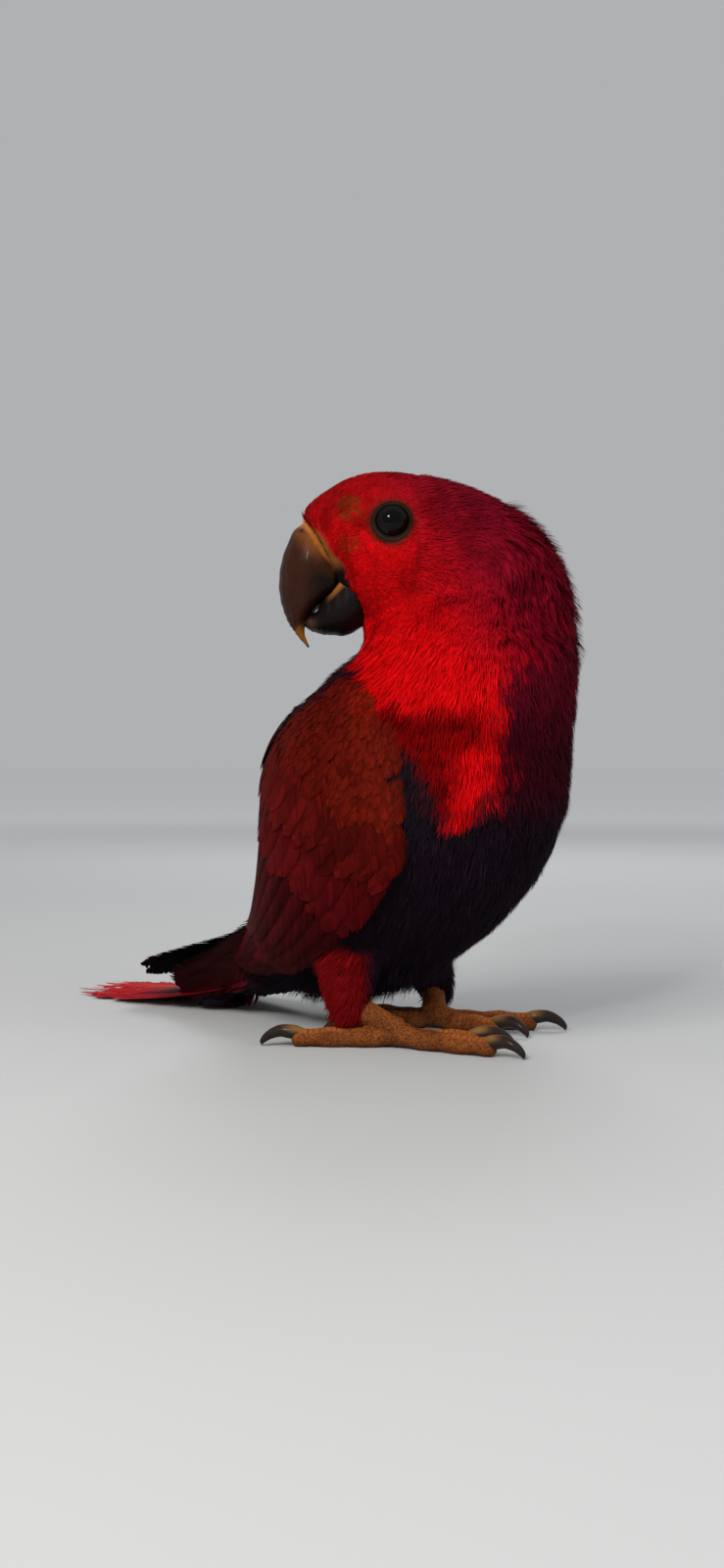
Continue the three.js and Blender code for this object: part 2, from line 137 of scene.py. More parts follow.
RED_THROAT = srgb(192, 6, 10)
RED_CROWN = srgb(148, 8, 12)
# Crimson of the nape: partly a deeper real red, partly painted shade
CRIMSON_NAPE_AND_SHADE = srgb(92, 8, 27)
PLUM_TIPS = srgb(34, 9, 25)
OLIVE_FACE = srgb(82, 50, 12)
RING_SKIN = srgb(36, 24, 13)
# Gold of the bill's base: real golden horn, lightened in part as a painted highlight
BILL_GOLD_AND_HIGHLIGHT = srgb(156, 92, 38)
BILL_BROWN = srgb(44, 20, 10)
BILL_DARK = srgb(13, 8, 7)
BILL_TIP = srgb(122, 73, 20)
BILL_PINK = srgb(76, 54, 44)
VIOLET_BELLY = srgb(22, 12, 21)
SLATE_FLANK = srgb(21, 17, 22)
# Plum of the breast's far side: partly its own duller colour, partly painted shade on red feathers
PLUM_SIDE_AND_SHADE = srgb(50, 5, 15)
RED_THIGH = srgb(100, 7, 10)
BROWN_SHOULDER = srgb(76, 11, 5)
ORANGE_EDGE = srgb(90, 18, 6)
MAROON_WING = srgb(72, 6, 10)
PLUM_WING = srgb(60, 6, 12)
BLACK_QUILL = srgb(17, 18, 20)
QUILL_EDGE = srgb(70, 74, 72)
RED_TAIL = srgb(150, 14, 26)
DARK_TAIL = srgb(24, 19, 32)
MAROON_BACK = srgb(84, 12, 20)
VIOLET_MANTLE = srgb(36, 9, 24)

eye_low, eye_high = (np.array(corner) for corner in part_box("eye_left"))


def from_head(forward, left, z):
    """Points of the head's own frame in the bird's frame"""
    c, s = math.cos(HEAD_TURN * DEG), math.sin(HEAD_TURN * DEG)
    forward, left, z = np.broadcast_arrays(forward, left, z)
    return np.stack([HEAD_PIVOT[0] + forward * c - left * s, HEAD_PIVOT[1] + forward * s + left * c, z], -1)


def to_head(points):
    """Forward, left and height of points in the head's own frame"""
    c, s = math.cos(HEAD_TURN * DEG), math.sin(HEAD_TURN * DEG)
    x, y = points[..., 0] - HEAD_PIVOT[0], points[..., 1] - HEAD_PIVOT[1]
    return x * c + y * s, -x * s + y * c, points[..., 2]


def feather_edge(z):
    """How far forward the head's feathers reach at each height"""
    return np.interp(z, *FEATHER_LINE.T)


def off_eye(forward, z):
    """Distance from the eye's middle, seen from the side"""
    return np.hypot(forward - EYE_FORWARD, z - EYE_Z)


def off_thigh(points, foot):
    """Distance from the upright line through a thigh's middle"""
    return np.hypot(*(points[:, :2] - foot["thigh"]).T)


# Where the bird's frame starts in the row's frame, in metres
START = (eye_low + eye_high) / 2 - from_head(EYE_FORWARD, EYE_OUT, EYE_Z) * MM


def smooth(value, low, high):
    share = np.clip((value - low) / (high - low), 0, 1)
    return share * share * (3 - 2 * share)


def unit(vectors):
    return vectors / np.maximum(np.linalg.norm(vectors, axis=-1, keepdims=True), 1e-9)


def level_with(vectors, normals):
    """Vectors without their part along the normals"""
    return vectors - normals * (vectors * normals).sum(-1, keepdims=True)


def blend(a, b, share):
    return a + (b - a) * np.asarray(share)[..., None]


def table(rows, t):
    """Each column of a table at sections t, on a smooth curve through its rows"""
    rows, t = np.asarray(rows, float), np.asarray(t, float)
    last = len(rows) - 1
    k = np.clip(np.floor(t).astype(int), 0, last - 1)
    f = np.clip(t - k, 0, 1)[..., None]
    p0, p1, p2, p3 = (rows[np.clip(k + n, 0, last)] for n in (-1, 0, 1, 2))
    return p1 + 0.5 * f * (p2 - p0 + f * (2 * p0 - 5 * p1 + 4 * p2 - p3 + f * (3 * (p1 - p2) + p3 - p0)))


def section(rows, t):
    """Centre, line of travel, breast direction, half depth and half width of a body at sections t"""
    step = 0.02
    ahead = table(rows, t + step) - table(rows, t - step)
    along = unit(np.stack([ahead[..., 0], 0 * ahead[..., 0], ahead[..., 1]], -1))
    x, z, deep, wide, y = np.moveaxis(table(rows, t), -1, 0)
    breast = np.stack([-along[..., 2], 0 * x, along[..., 0]], -1)
    return np.stack([x, y, z], -1), along, breast, deep, wide


def folded(t, degrees, side, out=0.0):
    """Point of the folded wings' envelope, moved outwards by `out`"""
    centre, _, breast, deep, wide = section(FOLDED, t)
    angle = np.asarray(degrees) * DEG
    depth = (deep + out) * np.cos(angle)
    width = (wide + out) * np.sin(angle) * side
    return centre + breast * depth[..., None] + np.array([0.0, 1.0, 0.0]) * width[..., None]


def wing_span(t):
    """Lower and upper edge of the closed wing at sections t, in degrees"""
    low, high = np.moveaxis(table(WING_EDGES, t), -1, 0)
    narrow = 1 - 0.75 * smooth(t, SHIELD_TO - 1.5, SHIELD_TO)
    narrow = narrow - 0.5 * (1 - smooth(t, SHIELD_FROM, SHIELD_FROM + 0.5))
    middle, half = (low + high) / 2, (high - low) / 2 * narrow
    return middle - half, middle + half


CHUNK = 20_000  # most points located at a time


def locate(rows, points):
    """Section, degrees from the breast and relative radius of points about a body's centre line"""
    t = np.linspace(0, len(rows) - 1, 121)
    centre, along, breast, deep, wide = section(rows, t)
    best = np.empty(len(points), int)
    for start in range(0, len(points), CHUNK):
        part = points[start:start + CHUNK]
        offset = part[:, None, :] - centre[None]
        ahead = np.abs((offset * along[None]).sum(-1)) + 0.15 * np.linalg.norm(offset, axis=-1)
        best[start:start + CHUNK] = ahead.argmin(1)
    offset = points - centre[best]
    a = (offset * breast[best]).sum(-1) / deep[best]
    b = offset[:, 1] / wide[best]
    return t[best], np.degrees(np.arctan2(b, a)), np.hypot(a, b)


# Random numbers that a place or a feather's number looks up
LATTICE = np.random.default_rng(7).random(1 << 16)
LATTICE_MASK = len(LATTICE) - 1
CELL_PRIMES, SEED_PRIME = np.array([73856093, 19349663, 83492791]), 7919


def patchy(points, size, seed=0):
    """Smooth random field from 0 to 1 whose patches are about `size` millimetres across"""
    places = np.asarray(points) / size
    cell = np.floor(places).astype(np.int64)
    f = places - cell
    f = f * f * (3 - 2 * f)
    total = np.zeros(len(places))
    for corner in np.ndindex(2, 2, 2):
        x, y, z = ((cell + corner) * CELL_PRIMES).T
        share = np.where(corner, f, 1 - f)
        number = LATTICE[((x ^ y ^ z) + seed * SEED_PRIME) & LATTICE_MASK]
        total += number * share[:, 0] * share[:, 1] * share[:, 2]
    return total


# Markings

# Bib on the breast, bottom to top: height, its near and far edge in degrees from the breast; past the far
# edge the red gives way to the far side's plum, which is partly painted shade
BIB = np.array([
    [65, -33, -33], [66.5, -36, -28], [69, -39, -24], [72, -42, -21], [76, -46, -19], [81, -51, -18],
    [86, -58, -18], [91, -72, -18], [99, -90, -19], [107, -106, -20], [111, -118, -12], [114, -130, 4],
    [116.5, -145, 30], [118, -158, 60], [119.5, -170, 120], [120.5, -180, 180],
])
# Trunk's middle at each height: z, x
TRUNK_LINE = np.array(sorted([z, x] for x, z, *_ in TRUNK))


def around_trunk(points):
    """Degrees from the breast about an upright line through the trunk's middle"""
    x = np.interp(points[:, 2], *TRUNK_LINE.T)
    return np.degrees(np.arctan2(points[:, 1], points[:, 0] - x))


def hood_share(points, jitter):
    """1 inside the red hood and bib, 0 outside"""
    z = points[:, 2] + (1.2 * jitter + 5 * (patchy(points, 4, 19) - 0.5)) * smooth(points[:, 2], 106, 114)
    angle = around_trunk(points)
    near, far = (np.interp(z, BIB[:, 0], BIB[:, k]) for k in (1, 2))
    inside = np.minimum((angle - near) * 0.7, (far - angle) * 0.4 - 0.5) - np.maximum(BIB[0, 0] - z, 0)
    inside = np.where((near <= -179) & (far >= 179), 20, inside)
    return smooth(inside + 1.6 * jitter, -2.5, 2.5)


def hood_colour(points):
    """Scarlet of face, throat and bib, turning crimson on the nape, partly a deeper real red and partly
    painted shade towards the back of the head
    """
    forward, _, z = to_head(points)
    bright = blend(RED_THROAT, RED_CROWN, 0.35 * smooth(z, 122, 136) + 0.65 * smooth(z, 144, 166))
    # Towards the back of the head the red turns crimson: partly real colour, partly painted shade
    nape = smooth(-forward + (z - 125) * 0.42, -10, 26) * smooth(z, 100, 118)
    made = blend(bright, CRIMSON_NAPE_AND_SHADE, nape * 0.86)
    for middle, size, share in (((27.5, 159.3), (4.6, 4.6), 0.72), ((27.5, 149), (3.2, 3.4), 0.5)):
        off = np.hypot((forward - middle[0]) / size[0], (z - middle[1]) / size[1])
        specks = smooth(patchy(points, 0.9, 3), 0.3, 0.6) * smooth(-off, -1.15, -0.55)
        made = blend(made, OLIVE_FACE, specks * share)
    from_eye = off_eye(forward, z) - 0.9 * smooth(forward - z + 140, -4, 4)
    made = blend(made, RING_SKIN * 1.2, smooth(-from_eye, -8.2, -6.0) * (0.4 + 0.5 * patchy(points, 0.9, 16)))
    ahead = forward - feather_edge(z)
    # Bare skin at the bill's base: dark below, and above it the gold that is partly a painted highlight
    base = blend(BILL_DARK, BILL_GOLD_AND_HIGHLIGHT * 0.8, smooth(z, 141, 145))
    made = blend(made, base, smooth(ahead, 0.7, 1.5) * smooth(z, 119, 121))
    cheek = smooth(patchy(points, 5, 5), 0.5, 0.8) * smooth(z, 118, 132)
    made = made * (1 - 0.3 * cheek)[:, None]
    mottle = smooth(patchy(points, 6.5, 9), 0.46, 0.68) * smooth(-z, -104, -92)
    angle = around_trunk(points)
    band = np.exp(-((z - 95 + 6 * (patchy(points, 5, 14) - 0.5)) / 3.4) ** 2) * smooth(-angle, 22, 34)
    # Darker towards the bib's near edge low down: partly a dimmer real red, partly painted shade
    edge = smooth(-angle + 3 * (patchy(points, 3, 18) - 0.5), 29, 46) * smooth(-z, -102, -88)
    return made * ((1 - 0.5 * mottle) * (1 - 0.65 * band) * (1 - 0.75 * edge))[:, None]


def wing_colour(t, share, points):
    """Brown-red shoulder, maroon middle and plum tip of a closed wing; share is 0 at its lower edge"""
    made = blend(BROWN_SHOULDER, MAROON_WING, smooth(t, 1.7, 2.9))
    made = blend(made, ORANGE_EDGE, smooth(-share, -0.4, -0.1) * smooth(-t, -2.3, -1.3) * 0.75)
    made = blend(made, PLUM_WING, smooth(t + share * 0.5, 3.3, 4.9))
    made = blend(made, PLUM_WING * 0.35, smooth(share, 0.76, 0.9) * smooth(-t, -2.6, -1.8) * 0.9)
    spots = smooth(patchy(points, 7, 21), 0.62, 0.74) * smooth(t, 0.8, 1.6) * smooth(-t, -3.8, -3.0)
    return made * (1 - 0.38 * spots)[:, None] * (0.86 + 0.28 * patchy(points, 4, 4))[:, None]


def in_wing(points, margin=0.0):
    """Side, section and share across of points on a closed wing; the side is 0 elsewhere"""
    t, degrees, radius = locate(FOLDED, points)
    low, high = wing_span(t)
    size = np.abs(degrees)
    edge = margin / (table(FOLDED, t)[:, 3] * DEG)
    inside = (size > low - edge) & (size < high + edge) & (t > SHIELD_FROM) & (t < SHIELD_TO) & (radius > 0.8)
    return np.where(inside, np.sign(degrees), 0), t, (size - low) / np.maximum(high - low, 1)


def body_colour(points, jitter=0.0, wings=True):
    """Colour of the coat anywhere on the body, with or without the closed wings"""
    x, y, z = points.T
    angle = around_trunk(points)
    belly = blend(VIOLET_BELLY, SLATE_FLANK, smooth(patchy(points * [1, 1, 0.4], 5, 12), 0.5, 0.85) * 0.5)
    slate = smooth(-angle, 34, 44) * smooth(angle, -86, -70) * smooth(z, 56, 68)
    made = blend(belly, SLATE_FLANK, slate * 0.8)
    # Far (left) side of the breast: plum turning crimson higher up, partly its own colour and partly painted
    # shade
    left_side = smooth(angle, -30, -16) * smooth(z + jitter, 62, 80)
    plum = blend(PLUM_SIDE_AND_SHADE, CRIMSON_NAPE_AND_SHADE, smooth(z + 3 * jitter, 84, 114) * 0.75)
    made = blend(made, plum, left_side)
    back = smooth(np.abs(angle) + 4 * jitter + 22 * (patchy(points, 5, 23) - 0.5), 118, 150)
    made = blend(made, blend(MAROON_BACK, VIOLET_MANTLE, smooth(z, 84, 100)), back)
    made = blend(made, DARK_TAIL, smooth(-x, 44, 58))
    made = blend(made, hood_colour(points), hood_share(points, jitter))
    for foot in FEET.values():
        tx, ty = foot["thigh"]
        off = np.hypot(x - tx - (17 - z) * 0.25, y - ty + foot["side"] * (z - 17) * 0.2)
        outer = smooth(-off, -12.2, -10.6) * smooth(-z + jitter, -29, -26)
        outer = outer * smooth(foot["side"] * (y - ty) - 0.6 * (x - tx), *foot["red"])
        made = blend(made, RED_THIGH * 0.9, outer)
    if not wings:
        return made
    side, t, share = in_wing(points)
    return np.where(side[:, None] != 0, wing_colour(t, share, points), made)


# Meshes


def to_row(points):
    """The bird's millimetres as metres of the row's frame"""
    return np.asarray(points) * MM + START


def add_object(name, data):
    made = bpy.data.objects.new(name, data)
    bpy.context.scene.collection.objects.link(made)
    return made


def new_mesh(name, points, faces, material, tint=None, maps=None):
    """Object from points in millimetres and faces of one size, with a colour and UV places per point"""
    mesh = bpy.data.meshes.new(name)
    faces = np.asarray(faces, np.int32)
    corners = faces.shape[1]
    mesh.vertices.add(len(points))
    mesh.vertices.foreach_set("co", to_row(points).astype(np.float32).ravel())
    mesh.loops.add(faces.size)
    mesh.loops.foreach_set("vertex_index", faces.ravel())
    mesh.polygons.add(len(faces))
    mesh.polygons.foreach_set("loop_start", np.arange(0, faces.size, corners, dtype=np.int32))
    mesh.update(calc_edges=True)
    shade_smooth(mesh)
    if tint is not None:
        set_tint(mesh, tint)
    for map_name, places in (maps or {}).items():
        layer = mesh.uv_layers.new(name=map_name)
        layer.data.foreach_set("uv", np.asarray(places, np.float32)[faces.ravel()].ravel())
    mesh.materials.append(material)
    mesh.update()
    return add_object(name, mesh)


def shade_smooth(mesh):
    mesh.polygons.foreach_set("use_smooth", np.ones(len(mesh.polygons), bool))


def set_tint(mesh, tint):
    colours = np.ones((len(tint), 4), np.float32)
    colours[:, :3] = np.clip(tint, 0, 1)
    layer = mesh.color_attributes.new("tint", "FLOAT_COLOR", "POINT")
    layer.data.foreach_set("color", colours.ravel())


def paint(mesh, material, tint):
    """Gives a remeshed piece its only material, smooth shading and colours"""
    mesh.materials.clear()
    mesh.materials.append(material)
    shade_smooth(mesh)
    set_tint(mesh, tint)


def read(items, name, wide, kind=np.float32):
    """One property of all items of a mesh, as rows of `wide` numbers"""
    flat = np.empty(len(items) * wide, kind)
    items.foreach_get(name, flat)
    return flat.reshape(-1, wide)


def points_of(mesh):
    """A mesh's vertices in the bird's millimetres"""
    return (read(mesh.vertices, "co", 3) - START) / MM


def normals_of(mesh):
    return read(mesh.vertex_normals, "vector", 3).astype(float)


def mount(piece, slot, *replaced):
    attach(piece, "root")
    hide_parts(*replaced)
    return piece


def grid_faces(rows, columns, closed=False):
    """Quads of a grid of points, row by row; closed joins the last column to the first"""
    across = columns if closed else columns - 1
    a = np.arange(rows - 1)[:, None] * columns + np.arange(across)[None]
    b = np.arange(rows - 1)[:, None] * columns + (np.arange(across)[None] + 1) % columns
    return np.stack([a, b, b + columns, a + columns], -1).reshape(-1, 4)


def baked(source, name):
    """Plain mesh object of an object with its modifiers, which is then removed"""
    graph = bpy.context.evaluated_depsgraph_get()
    mesh = bpy.data.meshes.new_from_object(source.evaluated_get(graph))
    mesh.name = name
    made = add_object(name, mesh)
    bpy.data.objects.remove(source)
    return made


def mesh_of(work, name):
    """Mesh made from a bmesh, which is then freed"""
    mesh = bpy.data.meshes.new(name)
    work.to_mesh(mesh)
    work.free()
    return mesh


def remeshed(source, name, voxel):
    remesh = source.modifiers.new("remesh", "REMESH")
    remesh.mode = "VOXEL"
    remesh.voxel_size = voxel * MM
    return baked(source, name)


def relaxed(mesh, times):
    """Moves each vertex towards the middle of its neighbours, a number of times"""
    a, b = read(mesh.edges, "vertices", 2, np.int32).T
    points = points_of(mesh)
    count = np.bincount(a, minlength=len(points)) + np.bincount(b, minlength=len(points))
    for _ in range(times):
        total = np.zeros_like(points)
        np.add.at(total, a, points[b])
        np.add.at(total, b, points[a])
        points = 0.5 * points + 0.5 * total / np.maximum(count, 1)[:, None]
    move_to(mesh, points)


def move_to(mesh, points):
    mesh.vertices.foreach_set("co", to_row(points).astype(np.float32).ravel())
    mesh.update()


# Materials


class Value:
    """A number socket of a material that can be added to and multiplied"""

    def __init__(self, finish, socket):
        self.finish, self.socket = finish, socket

    def math(self, operation, *others):
        return self.finish.node("ShaderNodeMath", dict(enumerate([self, *others])), operation=operation)

    def __add__(self, other):
        return self.math("ADD", other)

    def __mul__(self, other):
        return self.math("MULTIPLY", other)

    def between(self, low, high):
        """0 below low, 1 above high and smooth between them"""
        inputs = {"Value": self, "From Min": low, "From Max": high}
        return self.finish.node("ShaderNodeMapRange", inputs, interpolation_type="SMOOTHSTEP")


class Finish:
    """A material made of a Principled shader and the nodes that feed it"""

    def __init__(self, name, **sockets):
        self.material = bpy.data.materials.new(name)
        self.material.use_nodes = True
        self.tree = self.material.node_tree
        self.shader = self.tree.nodes["Principled BSDF"]
        for socket, value in sockets.items():
            self.set(socket.replace("_", " "), value)

    def node(self, kind, inputs=None, output=0, **settings):
        """Adds a node, sets it up, fills or links its sockets and gives one output back"""
        made = self.tree.nodes.new(kind)
        for name, value in settings.items():
            setattr(made, name, value)
        for key, value in (inputs or {}).items():
            self.feed(made.inputs[key], value)
        return Value(self, made.outputs[output])

    def feed(self, socket, value):
        if isinstance(value, Value):
            self.tree.links.new(value.socket, socket)
        else:
            socket.default_value = value

    def set(self, socket, value):
        self.feed(self.shader.inputs[socket], value)

    def place(self):
        return self.node("ShaderNodeTexCoord", output="Object")

    def uv(self, name):
        return self.node("ShaderNodeUVMap", uv_map=name)

    def noise(self, scale, detail=3.0, vector=None):
        inputs = {"Vector": vector or self.place(), "Scale": scale, "Detail": detail}
        return self.node("ShaderNodeTexNoise", inputs)

    def worn(self, shade, roughness=None, height=None, strength=0.5, distance=0.0002):
        """Shades the painted colour and sets roughness and bump by numbers that vary over the surface"""
        tint = self.node("ShaderNodeAttribute", output="Color", attribute_name="tint")
        grey = self.node("ShaderNodeCombineColor", {0: shade, 1: shade, 2: shade})
        inputs = {0: 1.0, 6: tint, 7: grey}
        self.set("Base Color", self.node("ShaderNodeMix", inputs, 2, data_type="RGBA", blend_type="MULTIPLY"))
        if roughness is not None:
            self.set("Roughness", roughness)
        if height is not None:
            inputs = {"Height": height, "Strength": strength, "Distance": distance}
            self.set("Normal", self.node("ShaderNodeBump", inputs))
        return self.material


def plumage():
    """Coat whose colour is painted on its points, with fine uneven barbs"""
    f = Finish("soft feathers", Roughness=0.7, Specular_IOR_Level=0.03)
    grain = f.noise(1400.0)
    shade = grain * 0.5 + f.noise(260.0, 2.0) * 0.36 + 0.6
    return f.worn(shade, grain * 0.16 + 0.62, f.noise(2600.0, 2.0), 0.25)


def down():
    """Skin under the coat, matt and close to the coat's colour"""
    f = Finish("downy skin", Roughness=0.9, Specular_IOR_Level=0.15)
    grain = f.noise(900.0, 4.0)
    return f.worn(grain * 0.6 + 0.5, None, grain, 0.6, 0.0006)


def vane_finish():
    """Flight and covert feathers: painted colour with fine slanting barbs and a faint gloss"""
    f = Finish("feather vane", Roughness=0.5, Specular_IOR_Level=0.02)
    along = f.node("ShaderNodeSeparateXYZ", {0: f.uv("Vane")}, 1)
    barb = (along * 460.0).math("SINE") * 0.5 + 0.5
    uneven = f.noise(500.0)
    return f.worn(uneven * 0.5 + barb * 0.14 + 0.68, uneven * 0.2 + 0.4, barb, 0.3)


def horn(name, roughness, coat):
    """Bill and claw horn: painted colour, fine lengthwise fibres and worn gloss"""
    f = Finish(name, Roughness=roughness, Coat_Weight=coat, Coat_Roughness=0.16, Specular_IOR_Level=0.07)
    grain = f.node("ShaderNodeVectorMath", {0: f.uv("Grain"), 1: (3.2, 0.35, 1)}, operation="MULTIPLY")
    fibre = f.noise(38.0, 5.0, grain)
    blotch = f.noise(330.0)
    rough = fibre * 0.3 + blotch * 0.12 + (roughness - 0.2)
    return f.worn(fibre * 0.75 + blotch * 0.5 + 0.38, rough, fibre + blotch * 0.4, 0.5, 0.00025)


def scaled_skin():
    """Feet: small raised grains with dark lines between them"""
    f = Finish("scaled foot", Specular_IOR_Level=0.1)
    inputs = {"Vector": f.place(), "Scale": 2600.0}
    raised = f.node("ShaderNodeTexVoronoi", inputs, feature="DISTANCE_TO_EDGE").between(0.0, 0.22)
    worn = f.noise(420.0)
    rough = raised * -0.1 + worn * 0.2 + 0.5
    return f.worn(raised * 0.22 + worn * 0.5 + 0.58, rough, raised, 0.45, 0.00015)


def bare_ring():
    """Bare skin round the eye"""
    f = Finish("bare eye skin", Specular_IOR_Level=0.05)
    fine = f.noise(1500.0)
    return f.worn(fine * 0.6 + 0.68, fine * 0.25 + 0.38, fine)


def wet_eye():
    gloss = dict(Coat_Weight=0.22, Coat_Roughness=0.02, IOR=1.33, Specular_IOR_Level=0.08)
    f = Finish("wet eye", Roughness=0.2, **gloss)
    fibre = f.noise(900.0, 4.0)
    return f.worn(fibre * 0.5 + 0.25, fibre * 0.06 + 0.1)


# Skin

VOXEL = 1.1  # millimetres
GROWN = 0.45  # how far the copies of the solids are grown
SKIN_GAP = 1.0  # lowest skin above the ground
TAIL_CUT, WING_CUT = -84, -40  # x past which the skin leaves tail and wings to their feathers


def coat_depth(points):
    """How deep the skin lies under the outline of the coat"""
    forward, left, z = to_head(points)
    face = smooth(forward, 4, 22) * smooth(z, 118, 130)
    head = smooth(z, 112, 128)
    depth = 2.4 - 0.9 * head - 0.75 * face
    depth = depth + 3.2 * smooth(-off_eye(forward, z), -6.2, -4.8) * (np.abs(left) > 9)
    for foot in FEET.values():
        thigh = (off_thigh(points, foot) < 13) & (z < 27)
        depth = np.where(thigh, np.minimum(depth, 1.7), depth)
    return depth


def flesh_copy():
    """Copies of the flesh, bill and eye solids, grown so that they touch, as one mesh"""
    joined = bmesh.new()
    for name in [*FLESH, "upper_bill", "lower_bill", "eye_left", "eye_right"]:
        part = bmesh.new()
        part.from_mesh(nodes[name].data)
        bmesh.ops.remove_doubles(part, verts=part.verts, dist=1e-6)
        cut = WING_CUT if name.startswith("wing") else TAIL_CUT if name == "tail" else None
        if cut is not None:
            everything = [*part.verts, *part.edges, *part.faces]
            plane = to_row([cut, 0, 0])
            sliced = bmesh.ops.bisect_plane(
                part, geom=everything, plane_co=plane, plane_no=(-1, 0, 0), clear_outer=True
            )
            rim = [e for e in sliced["geom_cut"] if isinstance(e, bmesh.types.BMEdge)]
            bmesh.ops.holes_fill(part, edges=rim)
        part.normal_update()
        for v in part.verts:
            v.co += v.normal * GROWN * MM
        if name.endswith("bill"):
            for v in part.verts:
                forward, left, z = to_head((np.array(v.co) - START) / MM)
                v.co = to_row(from_head(min(forward, feather_edge(z) + 0.5), left, z))
        scrap = mesh_of(part, "scrap")
        joined.from_mesh(scrap)
        bpy.data.meshes.remove(scrap)
    return add_object("flesh", mesh_of(joined, "flesh"))


def make_skin(material):
    """One seamless skin inside the solids by the depth of the coat"""
    made = remeshed(flesh_copy(), "shrunk", VOXEL)
    relaxed(made.data, 4)
    points = points_of(made.data)
    move_to(made.data, points - normals_of(made.data) * (coat_depth(points) + GROWN)[:, None])
    made = remeshed(made, "skin", VOXEL)
    relaxed(made.data, 3)
    points = points_of(made.data)
    points[:, 2] = np.maximum(points[:, 2], SKIN_GAP)
    move_to(made.data, points)
    # The skin is painted darker than the coat over it: partly darker feather bases, partly painted shade in
    # the gaps between tufts
    paint(made.data, material, body_colour(points) * 0.85)
    bpy.context.view_layer.objects.active = made
    made.select_set(True)
    bpy.ops.object.mode_set(mode="EDIT")
    bpy.ops.mesh.select_all(action="SELECT")
    bpy.ops.uv.smart_project(angle_limit=1.15, island_margin=0.003)
    bpy.ops.object.mode_set(mode="OBJECT")
    made.select_set(False)
    made.data.uv_layers[0].name = "OFBake"
    return made


class Surface:
    """The skin as something to walk on: nearest points, their normals and their places on the unwrap"""

    def __init__(self, skin):
        mesh = skin.data
        self.points, self.normals = points_of(mesh), normals_of(mesh)
        faces = [tuple(face.vertices) for face in mesh.polygons]
        self.tree = BVHTree.FromPolygons([Vector(p) for p in self.points], faces)
        self.first = np.array([face[0] for face in faces])
        starts = np.array([face.loop_start for face in mesh.polygons])
        self.places = read(mesh.uv_layers["OFBake"].data, "uv", 2)[starts]

    def nearest(self, points):
        """Nearest points on the skin, their normals and their faces"""
        found = [self.tree.find_nearest(Vector(p)) for p in points]
        places = np.array([hit[0] for hit in found])
        normals = np.array([hit[1] for hit in found])
        face = np.array([hit[2] for hit in found])
        return places, unit(normals * 0.4 + self.normals[self.first[face]] * 0.6), face

    def unwrapped(self, points):
        """Place of each point on the skin's unwrap"""
        return self.places[self.nearest(points)[2]]


# Place on the bill, in the head's frame, that the face's tufts point away from
FLOW_FROM = (40.0, 0.0, 150.0)
ALONG_TAIL = np.array([-1.0, 0.0, -0.12])


def lie(points, normals):
    """Direction in which the coat lies: away from the bill on the head, down and back on the body"""
    forward, left, z = to_head(points)
    from_bill = unit(points - from_head(*FLOW_FROM))
    t = locate(TRUNK, points)[0]
    along = section(TRUNK, np.maximum(t, 1.0))[1]
    down = unit(along + [0, 0, -0.25])
    head_share = smooth(z + forward * 0.5, 118, 150)
    radial = smooth(forward, -34, 0) * head_share
    nape = unit(from_bill * 0.35 - UP)
    flow = blend(blend(down, nape, head_share), from_bill, radial)
    for side in SIDES.values():
        from_eye = points - from_head(EYE_FORWARD, side * EYE_OUT, EYE_Z)
        away = np.linalg.norm(level_with(from_eye, normals), axis=-1)
        flow = flow + unit(from_eye) * (1.6 * smooth(-away, -11, -6) * (left * side > 0))[:, None]
    tail = smooth(-points[:, 0], 40, 56)
    flow = blend(flow, ALONG_TAIL, tail)
    return unit(level_with(flow, normals))


DENSEST = 4e6  # points per square metre before thinning


def scatter(skin, spacing, seed):
    """Points spread over the skin, no two nearer than `spacing`, with their normals and unwrap places"""
    tree = bpy.data.node_groups.new("spread roots", "GeometryNodeTree")
    for way in ("INPUT", "OUTPUT"):
        tree.interface.new_socket("Geometry", in_out=way, socket_type="NodeSocketGeometry")
    kinds = ("DistributePointsOnFaces", "StoreNamedAttribute", "PointsToVertices")
    kinds = ["NodeGroupInput", *(f"GeometryNode{kind}" for kind in kinds), "NodeGroupOutput"]
    chain = [tree.nodes.new(kind) for kind in kinds]
    for node, following in zip(chain, chain[1:]):
        tree.links.new(node.outputs[0], following.inputs[0])
    spread, store = chain[1:3]
    spread.distribute_method = "POISSON"
    store.data_type = "FLOAT_VECTOR"
    store.inputs["Name"].default_value = "facing"
    tree.links.new(spread.outputs["Normal"], store.inputs["Value"])
    for socket, value in (("Density Max", DENSEST), ("Distance Min", spacing * MM), ("Seed", seed)):
        spread.inputs[socket].default_value = value
    copy = skin.copy()
    copy.data = skin.data.copy()
    bpy.context.scene.collection.objects.link(copy)
    copy.modifiers.new("roots", "NODES").node_group = tree
    made = baked(copy, "roots")
    points = points_of(made.data)
    facing = read(made.data.attributes["facing"].data, "vector", 3).astype(float)
    places = read(made.data.attributes["OFBake"].data, "vector", 2)
    bpy.data.objects.remove(made)
    bpy.data.node_groups.remove(tree)
    return points, unit(facing), places


MOST_SUNK = 0.45  # share of a step by which a path may drop to reach the skin


